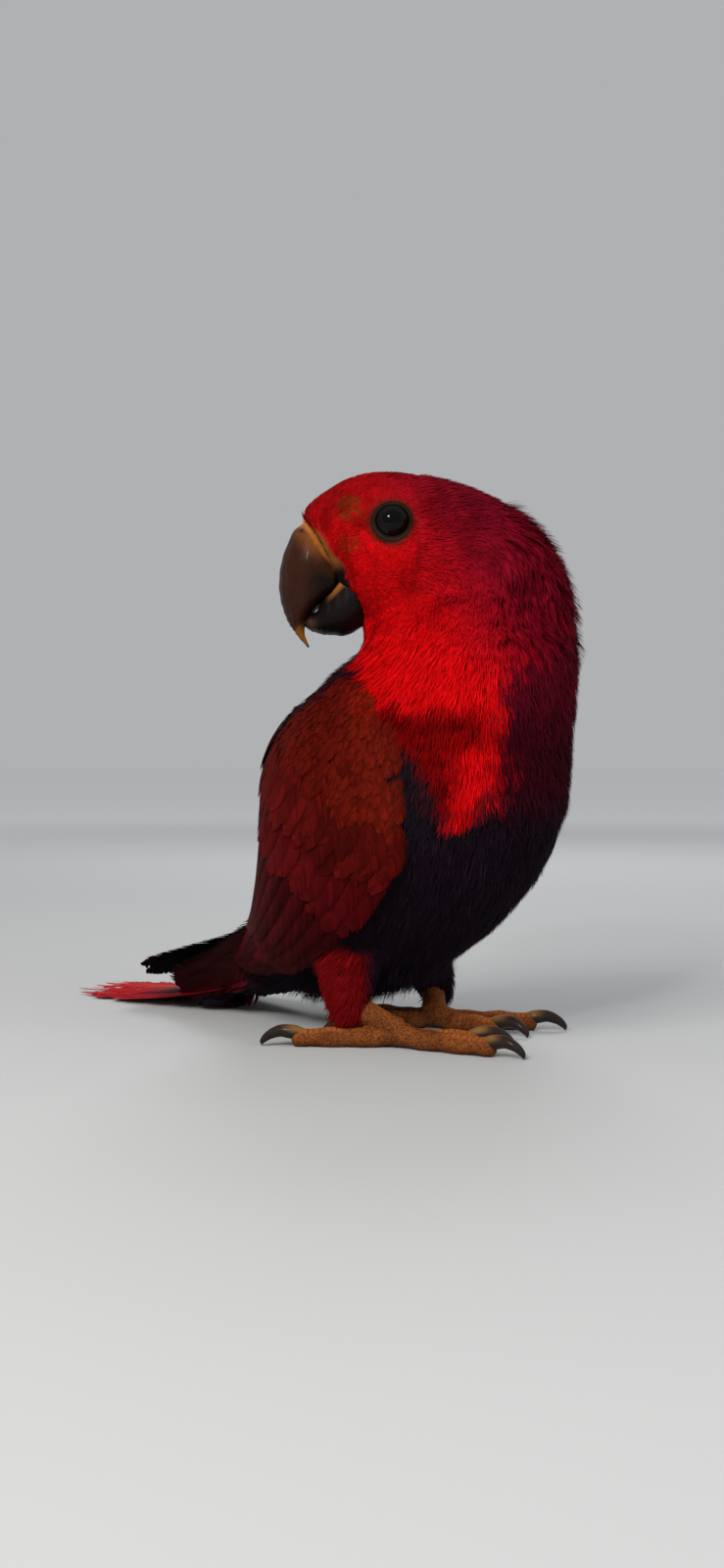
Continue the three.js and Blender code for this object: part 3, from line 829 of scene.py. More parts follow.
def walk(surface, roots, normals, lengths, steps, aside):
    """Paths over the skin from roots along the lie of the coat: points and normals of each step"""
    points, facing = [roots], [normals]
    for _ in range(steps):
        heading = lie(points[-1], facing[-1])
        heading = unit(heading + np.cross(facing[-1], heading) * aside[:, None])
        ahead = points[-1] + heading * (lengths / steps)[:, None]
        place, normal, _ = surface.nearest(ahead)
        sunk = ((place - ahead) * normal).sum(-1)
        place = np.where((np.abs(sunk) > MOST_SUNK * lengths / steps)[:, None], ahead, place)
        points.append(place)
        facing.append(unit(normal + facing[-1]))
    return np.stack(points, 1), np.stack(facing, 1)


# Coat


def follow(paths, normals, along):
    """Point, heading, side and normal on each path at shares `along`, each (count, n, 3)"""
    last = paths.shape[1] - 1
    at = np.clip(along, 0, 1) * last
    k = np.minimum(at.astype(int), last - 1)
    f = (at - k)[..., None]
    row = np.arange(len(paths))[:, None]
    point = paths[row, k] * (1 - f) + paths[row, k + 1] * f
    before, after = paths[row, np.maximum(k - 1, 0)], paths[row, np.minimum(k + 2, last)]
    one, two = paths[row, k], paths[row, k + 1]
    heading = unit(blend(two - before, after - one, f[..., 0]))
    normal = unit(normals[row, k] * (1 - f) + normals[row, k + 1] * f)
    side = unit(np.cross(normal, heading))
    return point, heading, side, normal


def copies(faces, count, step, start=0):
    """Faces of `count` copies of a shape with `step` points each"""
    return (faces[None] + (start + step * np.arange(count))[:, None, None]).reshape(-1, 4)


BAKE_PATCH = 0.003  # width of a tuft's or feather's patch on the unwrap
STRANDS = 10
# Stations along a strand, from its root
STATIONS = np.array([0.0, 0.55, 1.0])


def tufts(surface, roots, normals, places, rng, name, length, width, strand, lift, stand, stray):
    """Points, faces, tints and UV maps of tufts of tapering strands that lie along the skin"""
    tip, gather, even = (0.7, 0.14, 0.8) if name == "nape" else (1.06, 1, 0.4)
    glint = 0.07 if name == "belly" else 0
    count = len(roots)
    each = (count, STRANDS)
    lengths = length * rng.uniform(0.8, 1.2, count)
    paths, facing = walk(surface, roots, normals, lengths, 3, rng.normal(0, stray, count))
    order = (np.arange(STRANDS) - (STRANDS - 1) / 2) / (STRANDS / 2)
    start = rng.uniform(0, 0.22, each)[..., None]
    end = (rng.uniform(0.72, 1.0, each) - 0.12 * order ** 2)[..., None]
    across_root = (order * 0.42 + rng.normal(0, 0.1, each))[..., None]
    across_tip = ((order * 0.62 + rng.normal(0, 0.22, each)) * gather)[..., None]
    raised = (lift * rng.uniform(0.55, 1.1, each))[..., None]
    off = (stand * rng.random((count, 1)) ** 2 * rng.uniform(even, 1, each))[..., None]
    along = np.repeat(start + (end - start) * STATIONS, 2, -1).reshape(count, -1)
    middle = (across_root * (1 - STATIONS) + across_tip * STATIONS) * width
    thick = np.array([0.7, 1.0, 0.14]) * strand * rng.uniform(0.7, 1.25, (*each, 1))
    across = np.stack([middle - thick / 2, middle + thick / 2], -1).reshape(count, -1)
    rise = STATIONS ** 0.8 * raised + STATIONS ** 2.2 * off - 0.25 * (1 - STATIONS)
    roll = rng.normal(0, 0.22, (*each, 1, 1)) * np.array([-0.5, 0.5]) * thick[..., None]
    rise = (rise[..., None] + roll).reshape(count, -1)
    point, _, side, normal = follow(paths, facing, along)
    points = point + side * across[..., None] + normal * rise[..., None]
    tint = body_colour(paths[:, 2], rng.normal(0, 1.0, count), wings=False)
    if name == "nape":
        dark = smooth(-to_head(roots)[0], 26, 44) * (rng.random(count) < 0.55)
        tint = blend(tint, PLUM_TIPS, dark * 0.85)
    tone = rng.uniform(0.86, 1.12, (count, 1, 1)) * rng.uniform(0.9, 1.1, (*each, 1))
    tone = tone * np.where(rng.random((*each, 1)) < glint, 2.1, 1)
    # Each strand is darker at its root: partly darker feather bases, partly painted shade between the strands
    shade = np.repeat(tone * np.array([0.72, 1.0, tip]), 2, -1).reshape(count, -1)
    colours = tint[:, None, :] * shade[..., None]
    faces = copies(copies(np.array([[0, 2, 3, 1], [2, 4, 5, 3]]), STRANDS, 6), count, 6 * STRANDS)
    bake = places[:, None, :] + np.stack([across / width * 0.5, along - 0.5], -1) * BAKE_PATCH
    bake = np.clip(bake, 0, 1).reshape(-1, 2)
    return points.reshape(-1, 3), faces, colours.reshape(-1, 3), {"OFBake": bake}


BARE_SHAFT, LAST_BARB = 0.06, 0.985
# Stations along a shaft and the corners of its section
SHAFT_AT = np.linspace(0, 0.97, 9)
SHAFT_CORNERS = [(-1, 0.0), (0, 0.9), (1, 0.0)]


def barbed(paths, normals, width, numbers, barbs, rng, colour, shaft, camber, ragged, tip, slant, segments=3,
           swell=0.18, split=0.1, loose=0.8, cover=1.5, tilt=0.0, shaft_tone=0.8, shaft_colour=0.0):
    """Feathers as a shaft with slanting barbs on both sides; arrays are per feather"""
    count, ring = len(paths), 2 * (segments + 1)
    each, side = np.arange(count)[:, None, None], np.array([-1, 1])[None, :, None]

    def by_group(chance, step, feather_step, side_step, shift):
        """One random number for each group of neighbouring barbs"""
        groups = np.cumsum(rng.random((count, 2, barbs)) < chance, axis=-1)
        return LATTICE[(groups * step + each * feather_step + side * side_step + shift) & LATTICE_MASK]

    length = np.linalg.norm(np.diff(paths, axis=1), axis=-1).sum(1)
    q = np.linspace(0, 1, segments + 1)
    start = BARE_SHAFT + (LAST_BARB - BARE_SHAFT) * np.linspace(0, 1, barbs) ** 0.96
    start = np.broadcast_to(start, (count, 2, barbs))
    reach = np.minimum((slant * width / length)[:, None, None] * (0.6 + 0.8 * start), 0.95)
    ends = start + reach * (1 - start)
    at_end = np.clip(ends, 0, 1)
    profile = np.clip(at_end / swell, 0, 1) ** 0.6
    profile = profile * np.sqrt(np.clip(1 - (np.clip(at_end - (1 - tip), 0, 1) / tip) ** 2, 0.0, 1))
    pull = by_group(split, 131, 977, 57, 211) - 0.5
    strength = ragged * (0.35 + 0.65 * smooth(start, 0.55, 0.95))
    ends = ends + strength * pull * (reach + 0.02) + rng.normal(0, 0.004, ends.shape)
    half = width[:, None, None] / 2 * profile
    half = half * (1 + strength * pull * 0.35 + rng.normal(0, 0.03, half.shape))
    along = start[..., None] + (ends - start)[..., None] * q ** 1.35
    thick = 1 / barbs * cover * np.interp(q, [0, 0.6, 1], [1, 1, 0.45])
    v = np.stack([along - thick / 2, along + thick / 2], -1)
    across = np.repeat((side[..., None] * half[..., None] * q ** 0.85)[..., None], 2, -1)
    wide = width[:, None, None, None, None]
    relative = across / (wide / 2)
    rise = -camber * wide * relative ** 2 + (strength * pull * loose)[..., None, None] * (q ** 1.5)[:, None]
    rise = rise + tilt * across + np.array([0.0, 0.05])
    v, across, rise, relative = (part.reshape(count, -1) for part in (v, across, rise, relative))
    point, heading, aside, normal = follow(paths, normals, v)
    point = point + heading * (np.clip(v - 1, 0, 0.2) * length[:, None])[..., None]
    points = point + aside * across[..., None] + normal * rise[..., None]
    quad = np.array([[2 * k, 2 * k + 1, 2 * k + 3, 2 * k + 2] for k in range(segments)])
    one = np.concatenate([copies(quad[:, ::-1], barbs, ring), copies(quad, barbs, ring, ring * barbs)])
    tint = colour(np.clip(v, 0, 1), relative, numbers) * rng.uniform(0.9, 1.1, (count, 1, 1))
    streak = by_group(0.4, 61, 733, 29, 97)
    hair = 0.7 + 0.52 * streak + rng.uniform(-0.07, 0.07, streak.shape)
    tint = tint * np.repeat(hair.reshape(count, -1), ring, axis=1)[..., None]

    stations, corners = len(SHAFT_AT), len(SHAFT_CORNERS)
    point, _, aside, normal = follow(paths, normals, np.broadcast_to(SHAFT_AT, (count, stations)))
    thickness = (shaft * (1 - SHAFT_AT * 0.8))[:, None]
    rods = [point + aside * (a * thickness) + normal * (b * thickness + 0.04) for a, b in SHAFT_CORNERS]
    at = np.broadcast_to(np.repeat(SHAFT_AT, corners), (count, stations * corners))
    rod_tint = colour(at, 0 * at, numbers) * shaft_tone + shaft_colour
    per, per_rod = 2 * barbs * ring, stations * corners
    rod_faces = copies(grid_faces(stations, corners)[:, ::-1], count, per_rod, per * count)

    def joined(barb_part, rod_part, size):
        return np.concatenate([barb_part.reshape(-1, size), rod_part.reshape(-1, size)])

    vane = joined(np.stack([relative, v], -1), np.stack([0 * at, at], -1), 2)
    owner = np.concatenate([np.repeat(np.arange(count), size) for size in (per, per_rod)])
    faces = np.concatenate([copies(one, count, per), rod_faces])
    return joined(points, np.stack(rods, 2), 3), faces, joined(tint, rod_tint, 3), vane, owner


FLOOR_GAP = 0.12  # lowest feather above the ground
MOST_FACES = 95_000  # quads of one piece


class Coat:
    """Gathers feathers and makes them into pieces of fewer than 200,000 triangles"""

    def __init__(self, name, material, slot, *replaced):
        self.name, self.material, self.slot, self.replaced = name, material, slot, replaced
        self.parts = []

    def add(self, *part):
        """Takes the points, faces, tints and UV maps of some feathers"""
        self.parts.append(part)

    def finish(self):
        batches, size = [[]], 0
        for part in self.parts:
            if batches[-1] and size + len(part[1]) > MOST_FACES:
                batches.append([])
                size = 0
            batches[-1].append(part)
            size += len(part[1])
        for number, batch in enumerate(batches, 1):
            self.make(batch, f"_{number}" if len(batches) > 1 else "")

    def make(self, batch, ending):
        points, faces, tints, maps = zip(*batch)
        starts = np.cumsum([0, *(len(part) for part in points)])
        faces = np.concatenate([part + start for part, start in zip(faces, starts)])
        maps = {name: np.concatenate([part[name] for part in maps]) for name in maps[0]}
        points = np.concatenate(points)
        points[:, 2] = np.maximum(points[:, 2], FLOOR_GAP)
        piece = new_mesh(self.name + ending, points, faces, self.material, np.concatenate(tints), maps)
        mount(piece, self.slot, *self.replaced)


# Soft coat of head, breast, belly and thighs


def bare(points):
    """True where no tuft grows: under the bill, round the eye and where the legs meet the ground"""
    forward, left, z = to_head(points)
    margin = 1.1 + 0.8 * smooth(-z, -146, -140)
    bill = (forward > feather_edge(z) + margin) & (np.abs(left) < 14) & (z > 119)
    eye = (off_eye(forward, z) < 5.0) & (np.abs(left) > 9)
    return bill | eye | (points[:, 2] < 4.5)


def plume_region(points):
    """True on the back, rump and tail base, which carry whole feathers"""
    mantle = (np.abs(around_trunk(points)) > 124) & (points[:, 2] < 110)
    return mantle | (points[:, 0] < -43)


# Zones of tufts, first match wins: name, distance between roots, length, width, strand's width, lift, how far
# loose tips stand off, stray of the lie
ZONES = [
    ["face", 0.82, 3.3, 1.5, 0.26, 0.55, 0.12, 0.16],
    ["nape", 1.3, 11, 2.6, 0.46, 1.4, 3.4, 0.12],
    ["head", 1.1, 5.6, 2.0, 0.28, 1.2, 0.3, 0.12],
    ["thigh", 1.25, 6.5, 2.3, 0.3, 1.4, 0.2, 0.12],
    ["skirt", 1.25, 12.5, 3.0, 0.34, 2.0, 6.5, 0.2],
    ["breast", 1.5, 9.5, 2.9, 0.32, 2.0, 0.6, 0.13],
    ["belly", 1.6, 10.5, 3.1, 0.32, 2.0, 0.7, 0.16],
]
SLICE = 4700  # most tufts worked out at a time


def zone_numbers(points):
    """Row of ZONES that each point is in, or -1 where no tuft grows"""
    forward, _, z = to_head(points)
    thigh = np.min([off_thigh(points, foot) for foot in FEET.values()], axis=0) < 12.5
    tests = [
        bare(points) | plume_region(points) | (in_wing(points, -2.5)[0] != 0),
        (forward > 9) & (z > 124),  # face
        (forward < -15) & (z > 120),  # nape
        z > 121,  # head
        thigh & (z < 28),
        (z < 27) & (points[:, 0] > -34),  # skirt, between the legs and over the feet
        z > 74,  # breast
    ]
    return np.select(tests, list(range(-1, len(ZONES) - 1)), len(ZONES) - 1)


def make_soft_coat(skin, surface, material):
    """Tufts over head, neck, breast, belly and thighs"""
    rng = np.random.default_rng(21)
    spread = {}
    for number, (name, spacing, *sizes) in enumerate(ZONES):
        if spacing not in spread:
            spread[spacing] = scatter(skin, spacing * COARSER, 3 + len(spread))
        inside = zone_numbers(spread[spacing][0]) == number
        roots = [part[inside] for part in spread[spacing]]
        slot = "violet_plumage" if name in ("belly", "skirt") else "red_plumage"
        coat = Coat(f"{name}_tufts", material, slot, *FLESH)
        order = rng.permutation(inside.sum())
        for start in range(0, len(order), SLICE):
            chosen = [part[order[start:start + SLICE]] for part in roots]
            coat.add(*tufts(surface, *chosen, rng, name, *sizes))
        coat.finish()


# Whole feathers


FEATHERS_AT_ONCE = 150  # worked out at a time


def lay(coat, surface, rng, paths, normals, width, barbs, colour, **looks):
    """Adds barbed feathers on paths to a coat, with their bake places"""
    for numbers in np.array_split(np.arange(len(paths)), max(1, len(paths) // FEATHERS_AT_ONCE)):
        points, faces, tints, vane, owner = barbed(
            paths[numbers], normals[numbers], width[numbers], numbers, barbs, rng, colour, **looks
        )
        places = surface.unwrapped(paths[numbers, 0])
        bake = places[owner] + (vane * [0.5, 1.0] - [0, 0.5]) * BAKE_PATCH
        coat.add(points, faces, tints, {"OFBake": np.clip(bake, 0, 1), "Vane": vane})


def steady(tints, edge=0.05, shadow=0.0):
    """Colour function of feathers of one colour each: painted shade at the root, where the feathers above
    overlap it, darker at the edges, and along one side painted shade for a positive shadow and painted light
    for a negative one
    """

    def colour(v, across, numbers):
        # Painted shade towards the root, and painted shade or light along one side by shadow
        tone = 0.88 + 0.14 * smooth(v, 0.2, 0.8) - edge * np.abs(across) - shadow * smooth(across, 0.1, 1)
        return tints[numbers][:, None, :] * tone[..., None]

    return colour


def on_wing(side, t, share, lift):
    """Paths and normals of feathers on the closed wing, from pairs of values at root and tip"""
    f = np.linspace(0, 1, 9)[None]
    ways = (t, f), (share, f), (lift, f ** 0.8)
    t, share, lift = (root[:, None] + (tip - root)[:, None] * way for (root, tip), way in ways)
    low, high = wing_span(t)
    degrees = low + (high - low) * share
    points = folded(t, degrees, side, lift)
    return points, unit(folded(t, degrees, side, lift + 1.0) - points)


# Rows of a closed wing, under ones first: first and last root section, number of rows, first and last share
# of the span, distance between feathers, length, width, lift at root and tip, barbs on a side, how much of
# the tip is round, how much longer the upper ones are, slant of the barbs
WING_ROWS = [
    [3.5, 3.5, 1, 0.08, 0.8, 5.0, 58, 10.5, -2.0, -0.9, 80, 0.3, 0.16, 1.2],
    [2.7, 2.7, 1, 0.05, 0.92, 6.0, 49, 11.5, -1.7, -0.5, 76, 0.2, 0.05, 1.3],
    [2.15, 2.15, 1, 0.03, 0.92, 5.4, 26, 9, -1.5, -0.25, 44, 0.36, 0.0, 1.4],
    [1.8, 1.95, 2, 0.01, 0.95, 4.6, 16, 7, -1.3, -0.1, 28, 0.45, 0.0, 1.3],
    [1.6, 3.4, 7, 0.84, 1.06, 5.0, 19, 8, -0.9, 0.4, 28, 0.45, 0.0, 1.3],
]
FLIGHT_FROM = 40  # length from which a feather is a flight feather
SECTION_APART = 22.6  # millimetres between sections of the folded wings
COVERT = dict(tip=0.5, segments=2, slant=1.25, camber=0.06)


def make_small_coverts(skin, surface, coat, side, rng):
    """Small feathers that shingle the shoulder and the upper half of a closed wing"""
    points, facing, _ = scatter(skin, 1.75 * COARSER, 60 + side)
    wing, t, share = in_wing(points, 1.5)
    upper = smooth(t, 0.7, 1.8)
    keep = (wing == side) & (t < 1.98) & (rng.random(len(points)) > 0.38 * upper)
    points, facing, t, share, upper = (part[keep] for part in (points, facing, t, share, upper))
    count = len(points)
    length = (6.2 + 4.0 * upper) * rng.uniform(0.88, 1.12, count)
    paths, normals = walk(surface, points, facing, length, 5, rng.normal(0, 0.07, count))
    along = np.linspace(0, 1, 6)[None, :, None]
    rise = 1.25 + (0.65 + 0.35 * upper[:, None, None]) * along ** 0.8
    paths = paths + normals * (rise + rng.normal(0, 0.1, (count, 1, 1)))
    tints = wing_colour(t, np.clip(share, 0, 1), points) * rng.uniform(0.92, 1.08, (count, 1))
    width = (3.3 + 2.0 * upper) * rng.uniform(0.92, 1.08, count)
    lay(coat, surface, rng, paths, normals, width, 16, steady(tints), shaft=0.06, ragged=0.22, **COVERT)


def make_wing(side_name, skin, surface, material):
    """Closed wing: flight feathers, then rows of coverts, then scapulars along the upper edge"""
    side = SIDES[side_name]
    rng = np.random.default_rng(40 + side)
    coat = Coat(f"wing_{side_name}_feathers", material, "maroon_plumage", f"wing_{side_name}")
    for first, last, rows, near, far, apart, length, wide, *lifts, barbs, tip, grow, slant in WING_ROWS:
        flight = length > FLIGHT_FROM
        shaft = 0.008 * wide + 0.04
        looks = dict(shaft=shaft, camber=0.05, ragged=0.16, tip=tip, slant=slant, shaft_tone=0.7)
        for number, t in enumerate(np.linspace(first, last, rows)):
            low, high = wing_span(t + 0.3)
            arc = (high - low) * table(FOLDED, t + 0.3)[3] * DEG
            count = max(int(arc * (far - near) / apart), 3)
            step = (far - near) / count
            share = near + step * (np.arange(count) + 0.25 + 0.5 * (number % 2))
            share = share + rng.normal(0, 0.1 * step, count)
            t_root = t + rng.normal(0, 0.018, count)
            reach = length * rng.uniform(0.92, 1.08, count) / SECTION_APART
            t_tip = t_root + reach * (1 - grow + 2 * grow * share)
            lift = [level + rng.normal(0, 0.07, count) for level in lifts]
            shares = share, share + rng.normal(0, 0.012, count)
            paths, normals = on_wing(side, (t_root, t_tip), shares, lift)
            tints = wing_colour((t_root + t_tip) / 2, np.clip(share, 0, 1), paths[:, 4])
            tints = tints * rng.uniform(0.9, 1.1, (count, 1))
            if grow:
                tints = blend(tints, BLACK_QUILL, 0.08)
            width = wide * rng.uniform(0.93, 1.07, count)
            # Flight feathers: painted shade along one side on the right wing, painted light along one side on
            # the left wing
            colour = steady(tints, 0.14, -0.3 * side) if flight else steady(tints)
            lay(coat, surface, rng, paths, normals, width, barbs, colour, segments=2 if barbs < 40 else 3,
                tilt=-side * (0.09 if flight else 0.05), **looks)
    make_small_coverts(skin, surface, coat, side, rng)
    coat.finish()
    make_quills(side_name, surface, material, rng)


def make_quills(side_name, surface, material, rng):
    """Long primaries that reach past the closed wing"""
    coat = Coat(f"wing_{side_name}_quills", material, "maroon_plumage", f"wing_{side_name}")
    lean = PRIMARY_LEAN[side_name] * DEG
    paths, normals = [], []
    for stations in PRIMARIES[side_name]:
        line = table(stations, np.linspace(0, 2, 13))
        along = unit(np.gradient(line, axis=0))
        level = unit(np.cross(UP, along))
        flat = level * math.cos(lean) + np.cross(along, level) * math.sin(lean)
        up = np.cross(along, flat)
        for aside, over in ((-2.2, -0.25), (1.8, 0.25)):
            paths.append(line + flat * aside + up * over)
            normals.append(up)
    paths, normals = np.array(paths), np.array(normals)
    base = BLACK_QUILL if side_name == "left" else blend(BLACK_QUILL, PLUM_WING, 0.6)

    def colour(v, across, numbers):
        tips = smooth(v, 0.8, 1.0) * 0.5
        edge = smooth(across, 0.5, 1.0) * 0.25
        return blend(base, QUILL_EDGE, tips * edge + edge * 0.4)

    lay(coat, surface, rng, paths, normals, np.full(len(paths), 10.5), 90, colour, shaft=0.42, camber=0.04,
        ragged=0.27, tip=0.3, slant=1.2, split=0.16, loose=0.4, shaft_tone=1.2, shaft_colour=0.01)
    coat.finish()


def make_plumes(skin, surface, material):
    """Mantle, rump and tail coverts, above and below"""
    rng = np.random.default_rng(33)
    coat = Coat("back_feathers", material, "maroon_plumage", "trunk", "tail")
    points, facing, _ = scatter(skin, 3.4 * COARSER, 90)
    keep = plume_region(points) & (in_wing(points, -3.0)[0] == 0) & (points[:, 2] > 3)
    points, facing = points[keep], facing[keep]
    order = np.argsort(points[:, 0] - points[:, 2] * 0.5)
    points, facing = points[order], facing[order]
    count = len(points)
    tail = smooth(-points[:, 0], 46, 58)
    length = (13 + 8 * tail) * rng.uniform(0.85, 1.15, count)
    paths, normals = walk(surface, points, facing, length, 6, rng.normal(0, 0.08, count))
    share = np.linspace(0, 1, 7)[None, :, None]
    under = smooth(-facing[:, 2], -0.1, 0.4) * tail
    rise = 0.1 + (1.9 - 0.5 * tail - 1.1 * under)[:, None, None] * share ** 0.8
    paths = paths + normals * rise * rng.uniform(0.85, 1.1, (count, 1, 1))
    paths[..., 2] = np.maximum(paths[..., 2], 0.9)
    tints = body_colour(points, rng.normal(0, 1, count)) * rng.uniform(0.8, 1.2, (count, 1))
    tints = blend(tints, MAROON_BACK * 0.8, tail * (1 - under) * 0.8)
    tints = blend(tints, VIOLET_BELLY, smooth(-points[:, 2], -15, -9) * smooth(points[:, 0], -76, -62))
    width = 7.4 * rng.uniform(0.9, 1.1, count)
    lay(coat, surface, rng, paths, normals, width, 16, steady(tints), shaft=0.1, ragged=0.25, **COVERT)
    coat.finish()


RECTRICES = 12  # tail feathers


def make_tail(surface, material):
    """Tail laid on the ground: twelve long feathers in a shallow fan, the middle ones on top"""
    rng = np.random.default_rng(52)
    coat = Coat("tail_feathers", material, "maroon_plumage", "tail")
    off = np.linspace(-3, 3, RECTRICES)
    share = np.linspace(0, 1, 15)[None]
    length = (TAIL_LENGTH - TAIL_SHORTER * (np.abs(off) / 3) ** 2)[:, None]
    length = length - rng.uniform(0, 3, (RECTRICES, 1))
    turn = (-off * TAIL_SPREAD * DEG)[:, None]
    x = TAIL_FROM - length * share * np.cos(turn)
    y = off[:, None] * TAIL_SPACING - length * share * np.sin(turn)
    z = 12.5 * (1 - share) ** 1.9 + 0.6 + 0.5 * (3 - np.abs(off))[:, None]
    paths = np.stack([x, y, z], -1)
    heading = unit(np.gradient(paths, axis=1))
    level = unit(np.cross(UP, heading))
    normals = unit(np.cross(heading, level))
    outer = smooth(np.abs(off), 1.6, 2.8)

    def colour(v, across, numbers):
        red = outer[numbers][:, None] * (0.5 + 0.6 * smooth(v, 0.05, 0.3)) + smooth(v, 0.5, 0.8)
        red = np.clip(red, 0, 1)
        made = blend(DARK_TAIL, RED_TAIL, red * (0.75 + 0.25 * smooth(v, 0.3, 0.9)))
        return made * (0.75 + 0.35 * smooth(v, 0.1, 0.6))[..., None]

    lay(coat, surface, rng, paths, normals, np.full(RECTRICES, 12.0), 110, colour, shaft=0.42, camber=0.015,
        ragged=0.8, tip=0.26, slant=1.4, swell=0.1, split=0.25, loose=0.2, cover=1.3, shaft_tone=0.9,
        shaft_colour=np.array([0.16, 0.09, 0.05]))
    coat.finish()


# Bill, eyes, feet and claws


def tidy(made, fill=True):
    """Merges doubles, closes open ends and turns every face outwards"""
    work = bmesh.new()
    work.from_mesh(made.data)
    bmesh.ops.remove_doubles(work, verts=work.verts, dist=1e-6)
    if fill:
        rims = [e for e in work.edges if e.is_boundary]
        bmesh.ops.holes_fill(work, edges=rims)
    bmesh.ops.recalc_face_normals(work, faces=work.faces)
    work.to_mesh(made.data)
    work.free()
    made.data.update()
    return made


def round_off(angle, power):
    c, s = np.cos(angle), np.sin(angle)
    return np.sign(c) * np.abs(c) ** (2 / power), np.sign(s) * np.abs(s) ** (2 / power)


def bill_section(around, power, hollow):
    """Height and width of a bill's section: round above, upright walls and a hollow below"""
    c, s = round_off(around, power)
    below = np.clip(np.abs(around - math.pi) / (math.pi / 2), 0, 1)
    wall = np.clip((1 - below) * 2, 0, 1)
    inside = np.clip((0.5 - below) * 2, 0, 1)
    side = np.sign(math.pi - around)
    s = np.where(c < 0, side * (1 - 0.16 * wall ** 2) * (1 - inside), s)
    c = np.where(c < 0, -wall + hollow * np.sin(inside * math.pi / 2), c)
    return c, s


def circle(columns):
    return np.linspace(0, 2 * math.pi, columns, endpoint=False)


def closed_piece(name, points, rows, columns, material, tint=None, grain=False, fill=True):
    """Object from a grid of points whose last column meets its first, with a map of its grain if asked"""
    maps = {}
    if grain:
        v, u = np.meshgrid(np.linspace(0, 1, rows), np.linspace(0, 1, columns), indexing="ij")
        maps["Grain"] = np.stack([u, v], -1).reshape(-1, 2)
    faces = grid_faces(rows, columns, True)
    return tidy(new_mesh(name, points.reshape(-1, 3), faces, material, tint, maps), fill)


def make_upper_bill(material):
    rows, columns = 130, 64
    t = np.linspace(0, len(UPPER_BILL) - 1, rows)[:, None]
    angle, inner, outer, wide = np.moveaxis(table(UPPER_BILL, t), -1, 0)
    around = circle(columns)
    c, s = bill_section(around, 2.2, 0.6)
    keel = 1 - 0.16 * np.clip(c, 0, 1) ** 2 * smooth(t, 0.5, 3)
    fibre = 0.06 * np.sin(around * 17 + np.sin(t * 1.3) * 1.2) + 0.05 * np.sin(around * 31 + 1.7)
    half = (outer - inner) / 2
    growth = 0.07 * np.sin(t * 9 + 0.8 * np.cos(around)) * smooth(t, 1, 3)
    bump = 0.35 * np.exp(-((t - 1.25) / 0.22) ** 2) * np.clip(c, 0, 1) ** 6
    nostril = np.exp(-((t - 1.0) / 0.16) ** 2 - ((np.abs(s) - 0.62) / 0.17) ** 2) * (c > 0)
    depth = half * c + (fibre + growth) * smooth(half, 0.3, 1.5) + bump
    width = wide * s * keel * (1 - 0.12 * nostril) + fibre * s * smooth(half, 0.3, 1.5)
    radius = (outer + inner) / 2 + depth - 0.5 * nostril
    forward = BILL_CENTRE[0] + radius * np.cos(angle * DEG)
    z = BILL_CENTRE[1] + radius * np.sin(angle * DEG)
    tuck = 1 - smooth(t, 0, 0.12)
    points = from_head(forward - 3.4 * tuck, width * (1 - 0.12 * tuck), z - 1.4 * tuck).reshape(-1, 3)
    t, c, s, nostril, z = (a.ravel() for a in np.broadcast_arrays(t, c, s, nostril, z))
    wander = (patchy(points, 3.0, 31) - 0.5) * 0.8
    forward, _, height = to_head(points)
    ahead = forward - feather_edge(height) + wander * 1.6
    made = blend(BILL_BROWN, BILL_DARK, smooth(-c, -0.5, 0.6) * smooth(t, 1.5, 3.5))
    # Gold along the feather line and, fainter, on the top of the culmen: partly real golden horn, partly
    # painted highlight
    gold = smooth(-ahead, -5.0, -2.2) * smooth(z, 139, 144)
    gold = gold + 0.32 * smooth(-ahead, -11, -4) * smooth(z, 143, 150)
    made = blend(made, BILL_GOLD_AND_HIGHLIGHT, np.clip(gold, 0, 1))
    made = blend(made, BILL_TIP, smooth(t + wander * 0.6 + c * 0.3, 7.1, 8.3))
    made = blend(made, BILL_DARK, smooth(t, 9.1, 9.8) * 0.8)
    made = blend(made, BILL_DARK * 0.4, np.clip(nostril, 0, 1) * 0.9)
    piece = closed_piece("upper_bill_horn", points, rows, columns, material, made, grain=True)
    mount(piece, "bill_horn", "upper_bill")


def make_lower_bill(material):
    rows, columns = 90, 56
    t = np.linspace(0, len(LOWER_BILL) - 1, rows)[:, None]
    forward, z, high, wide = np.moveaxis(table(LOWER_BILL, t), -1, 0)
    around = circle(columns)
    c, s = bill_section(around, 2.1, 0.7)
    c = -c
    fibre = 0.05 * np.sin(around * 19 + t) + 0.05 * np.sin(t * 7.5)
    height = z + high * c + fibre * smooth(high, 0.5, 3)
    width = wide * s + fibre * s
    points = from_head(forward, width, height).reshape(-1, 3)
    t, c, s = (a.ravel() for a in np.broadcast_arrays(t, c, s))
    made = blend(BILL_DARK, BILL_PINK, smooth(t, 4.2, 6.4) * smooth(-c, -0.7, 0.2) * 0.7)
    # Gold strip on the upper rear edge of the lower bill, in the gold that is partly a painted highlight
    rim = smooth(c, 0.55, 0.85) * smooth(np.abs(s), 0.35, 0.7)
    made = blend(made, BILL_GOLD_AND_HIGHLIGHT, rim * smooth(-t, -3.9, -2.2) * 0.7)
    piece = closed_piece("lower_bill_horn", points, rows, columns, material, made, grain=True)
    mount(piece, "bill_horn", "lower_bill")


PUPIL_BLACK = srgb(2, 2, 2)
IRIS_BROWN = srgb(13, 7, 6)
RIM_SKIN = srgb(20, 14, 13)
APERTURE, RING_OUT = 4.85, 6.3
# How far out the rays start that look for the skin, and its place where one finds none
PROBE_FROM, HEAD_OUT = 40.0, 17.0


